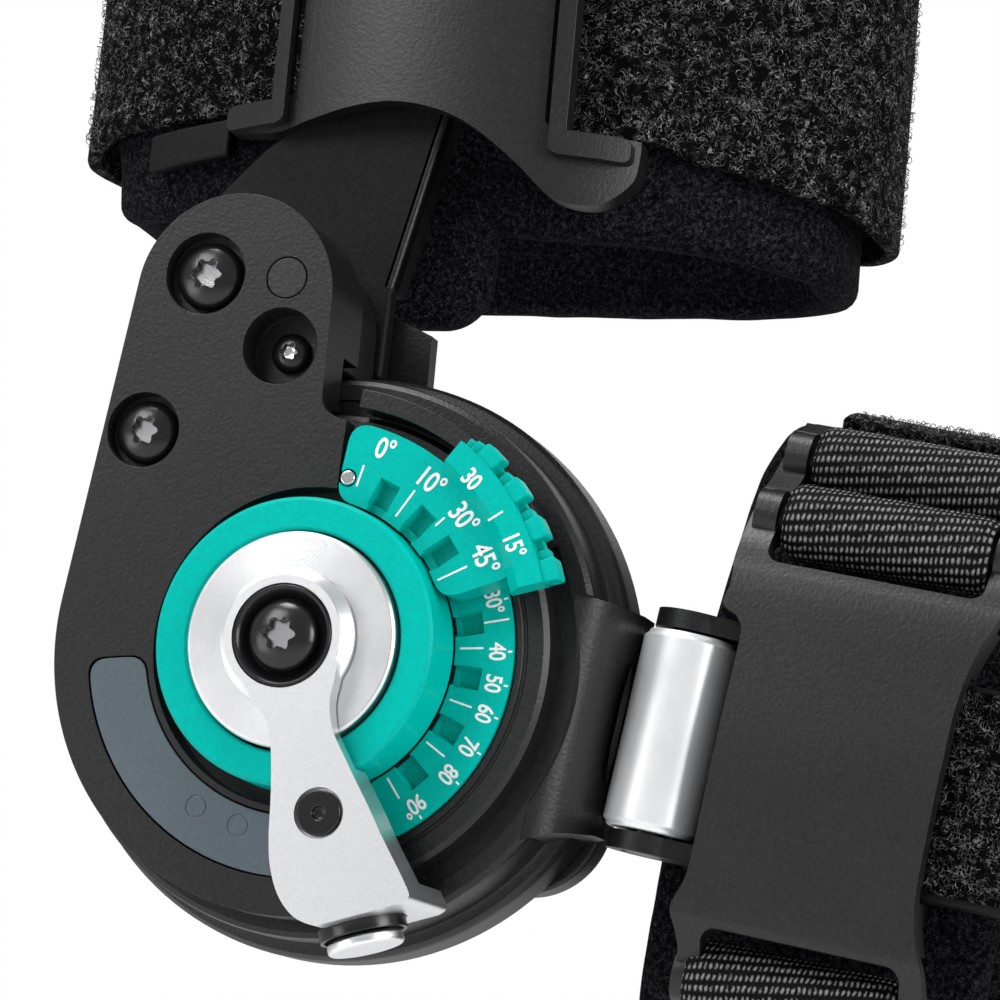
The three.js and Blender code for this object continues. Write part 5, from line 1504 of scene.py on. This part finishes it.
for low, high in ((-14.7, -12.7), (12.7, 14.7)):
    carve(saddle, fore_plate("guide", [(52.1, low), (72.3, low), (72.3, high), (52.1, high)], 18.2, 29.2),
          operation="UNION")
done(soften(saddle, 0.45, 3, 38, 40), SHELL_BLACK, "cuff", "forearm_shell", slot="black_plastic")
for place, (depth, up) in RODS.items():
    rod = fore_rod(f"rod_{place}", 46.9 if up > 0 else 49.0, depth, up, 1.9, 26.5 if up > 0 else 24.2)
    done(soften(rod, 0.15, 2), BLACK, "cuff", slot="black_plastic")

# %% [markdown]
# ## Elastic webbing
#
# Each roll is a band of knitted elastic wound round its rod. A grid is wrapped into a tube, drawn in at
# its ends, and its own UV map lays the knit in rows along the roll.

# %% Rolls
ROLL_LENGTH, ROLL_R = 24.4, 4.5
STITCH, ROW = 0.66, 0.62
ELASTIC = knitted("knitted_elastic", (0.0012, 0.0012, 0.0015), (0.24, 0.24, 0.25), math.tau * ROLL_R,
                  ROLL_LENGTH, STITCH, ROW)
ROLL_COLUMNS, ROLL_ROWS = 120, 24
ROLL_NODES = {"front": "elastic_upper_front", "rear": "elastic_upper_rear", "low": "elastic_lower"}
for place, (depth, up) in RODS.items():
    def roll_spot(column, row, depth=depth, up=up):
        turn = math.tau * column / ROLL_COLUMNS
        edge = min(row, ROLL_ROWS - row) / ROLL_ROWS
        radius = ROLL_R - 0.5 * max(0.0, 1 - edge / 0.06) ** 2 + 0.06 * math.sin(turn * 12)
        along = 48.2 + ROLL_LENGTH * row / ROLL_ROWS
        return fore(along, depth + radius * math.cos(turn), up + radius * math.sin(turn))
    roll = laid_grid(f"elastic_{place}", ROLL_COLUMNS, ROLL_ROWS, roll_spot)
    edit(roll, lambda: bpy.ops.mesh.remove_doubles(threshold=0.00001), outwards)
    modify(roll, "SOLIDIFY", thickness=2.0 * MM, offset=-1.0)
    pick(roll)
    bpy.ops.object.shade_smooth_by_angle(angle=math.radians(50))
    done(roll, ELASTIC, "cuff", ROLL_NODES[place], slot="webbing")

# %% Forearm strap and pad
FORE_STRAP_WIDTH = 27
FORE_COLUMNS, FORE_ROWS = 170, 14
fore_turns, fore_length = even_turns(
    lambda t: round_fore(t, STRAP_MIDDLE, 60), -0.36, math.pi + 0.62, FORE_COLUMNS)
print("forearm strap flat length", round(fore_length, 4))


def fore_strap_spot(out):
    def spot(column, row):
        turn = fore_turns[column]
        share = row / FORE_ROWS
        wave = 0.25 * math.sin(turn * 6.0) * math.sin(share * math.pi)
        return round_fore(turn, out + wave, 46.5 + FORE_STRAP_WIDTH * share)
    return spot


fore_strap = laid_grid("forearm_loop_strap", FORE_COLUMNS, FORE_ROWS, fore_strap_spot(STRAP_IN))
facing(fore_strap, fore(60, FORE_MIDDLE, 0))
modify(fore_strap, "SOLIDIFY", thickness=STRAP_WALL * MM, offset=1.0)
done(soften(fore_strap, 0.4, 2, 50, 60), LOOPS, "cuff", "forearm_strap", slot="webbing")
fore_face = laid_grid("forearm_face", FORE_COLUMNS, FORE_ROWS, lambda c, r: fore_strap_spot(PILE_OUT)(
    c, min(max(r, 0.5), FORE_ROWS - 0.5)))
fore_pile = scatter("forearm_pile", fore_face, thread_ring(0.42, 0.05), 500000, 53)
done(fore_pile, THREAD, "cuff", "forearm_strap", slot="webbing")

fore_pad_turns, fore_pad_length = even_turns(lambda t: round_fore(t, 0, 60), 0, math.tau, PAD_COLUMNS)
print("round the forearm pad", round(fore_pad_length, 4))


def fore_pad_spot(column, row):
    turn = fore_pad_turns[column % PAD_COLUMNS]
    out, along = pad_section(39.6, 80.4, PAD_THICK, 0.0)[row % SECTION_STEPS]
    return round_fore(turn, out - 0.1, along)


fore_pad = wrapped("forearm_velour_pad", PAD_COLUMNS, fore_pad_spot)
smooth_all(wandering(fore_pad, WANDER, 0.5))
done(fore_pad, VELOUR, "cuff", "forearm_pad", slot="pad_cloth")
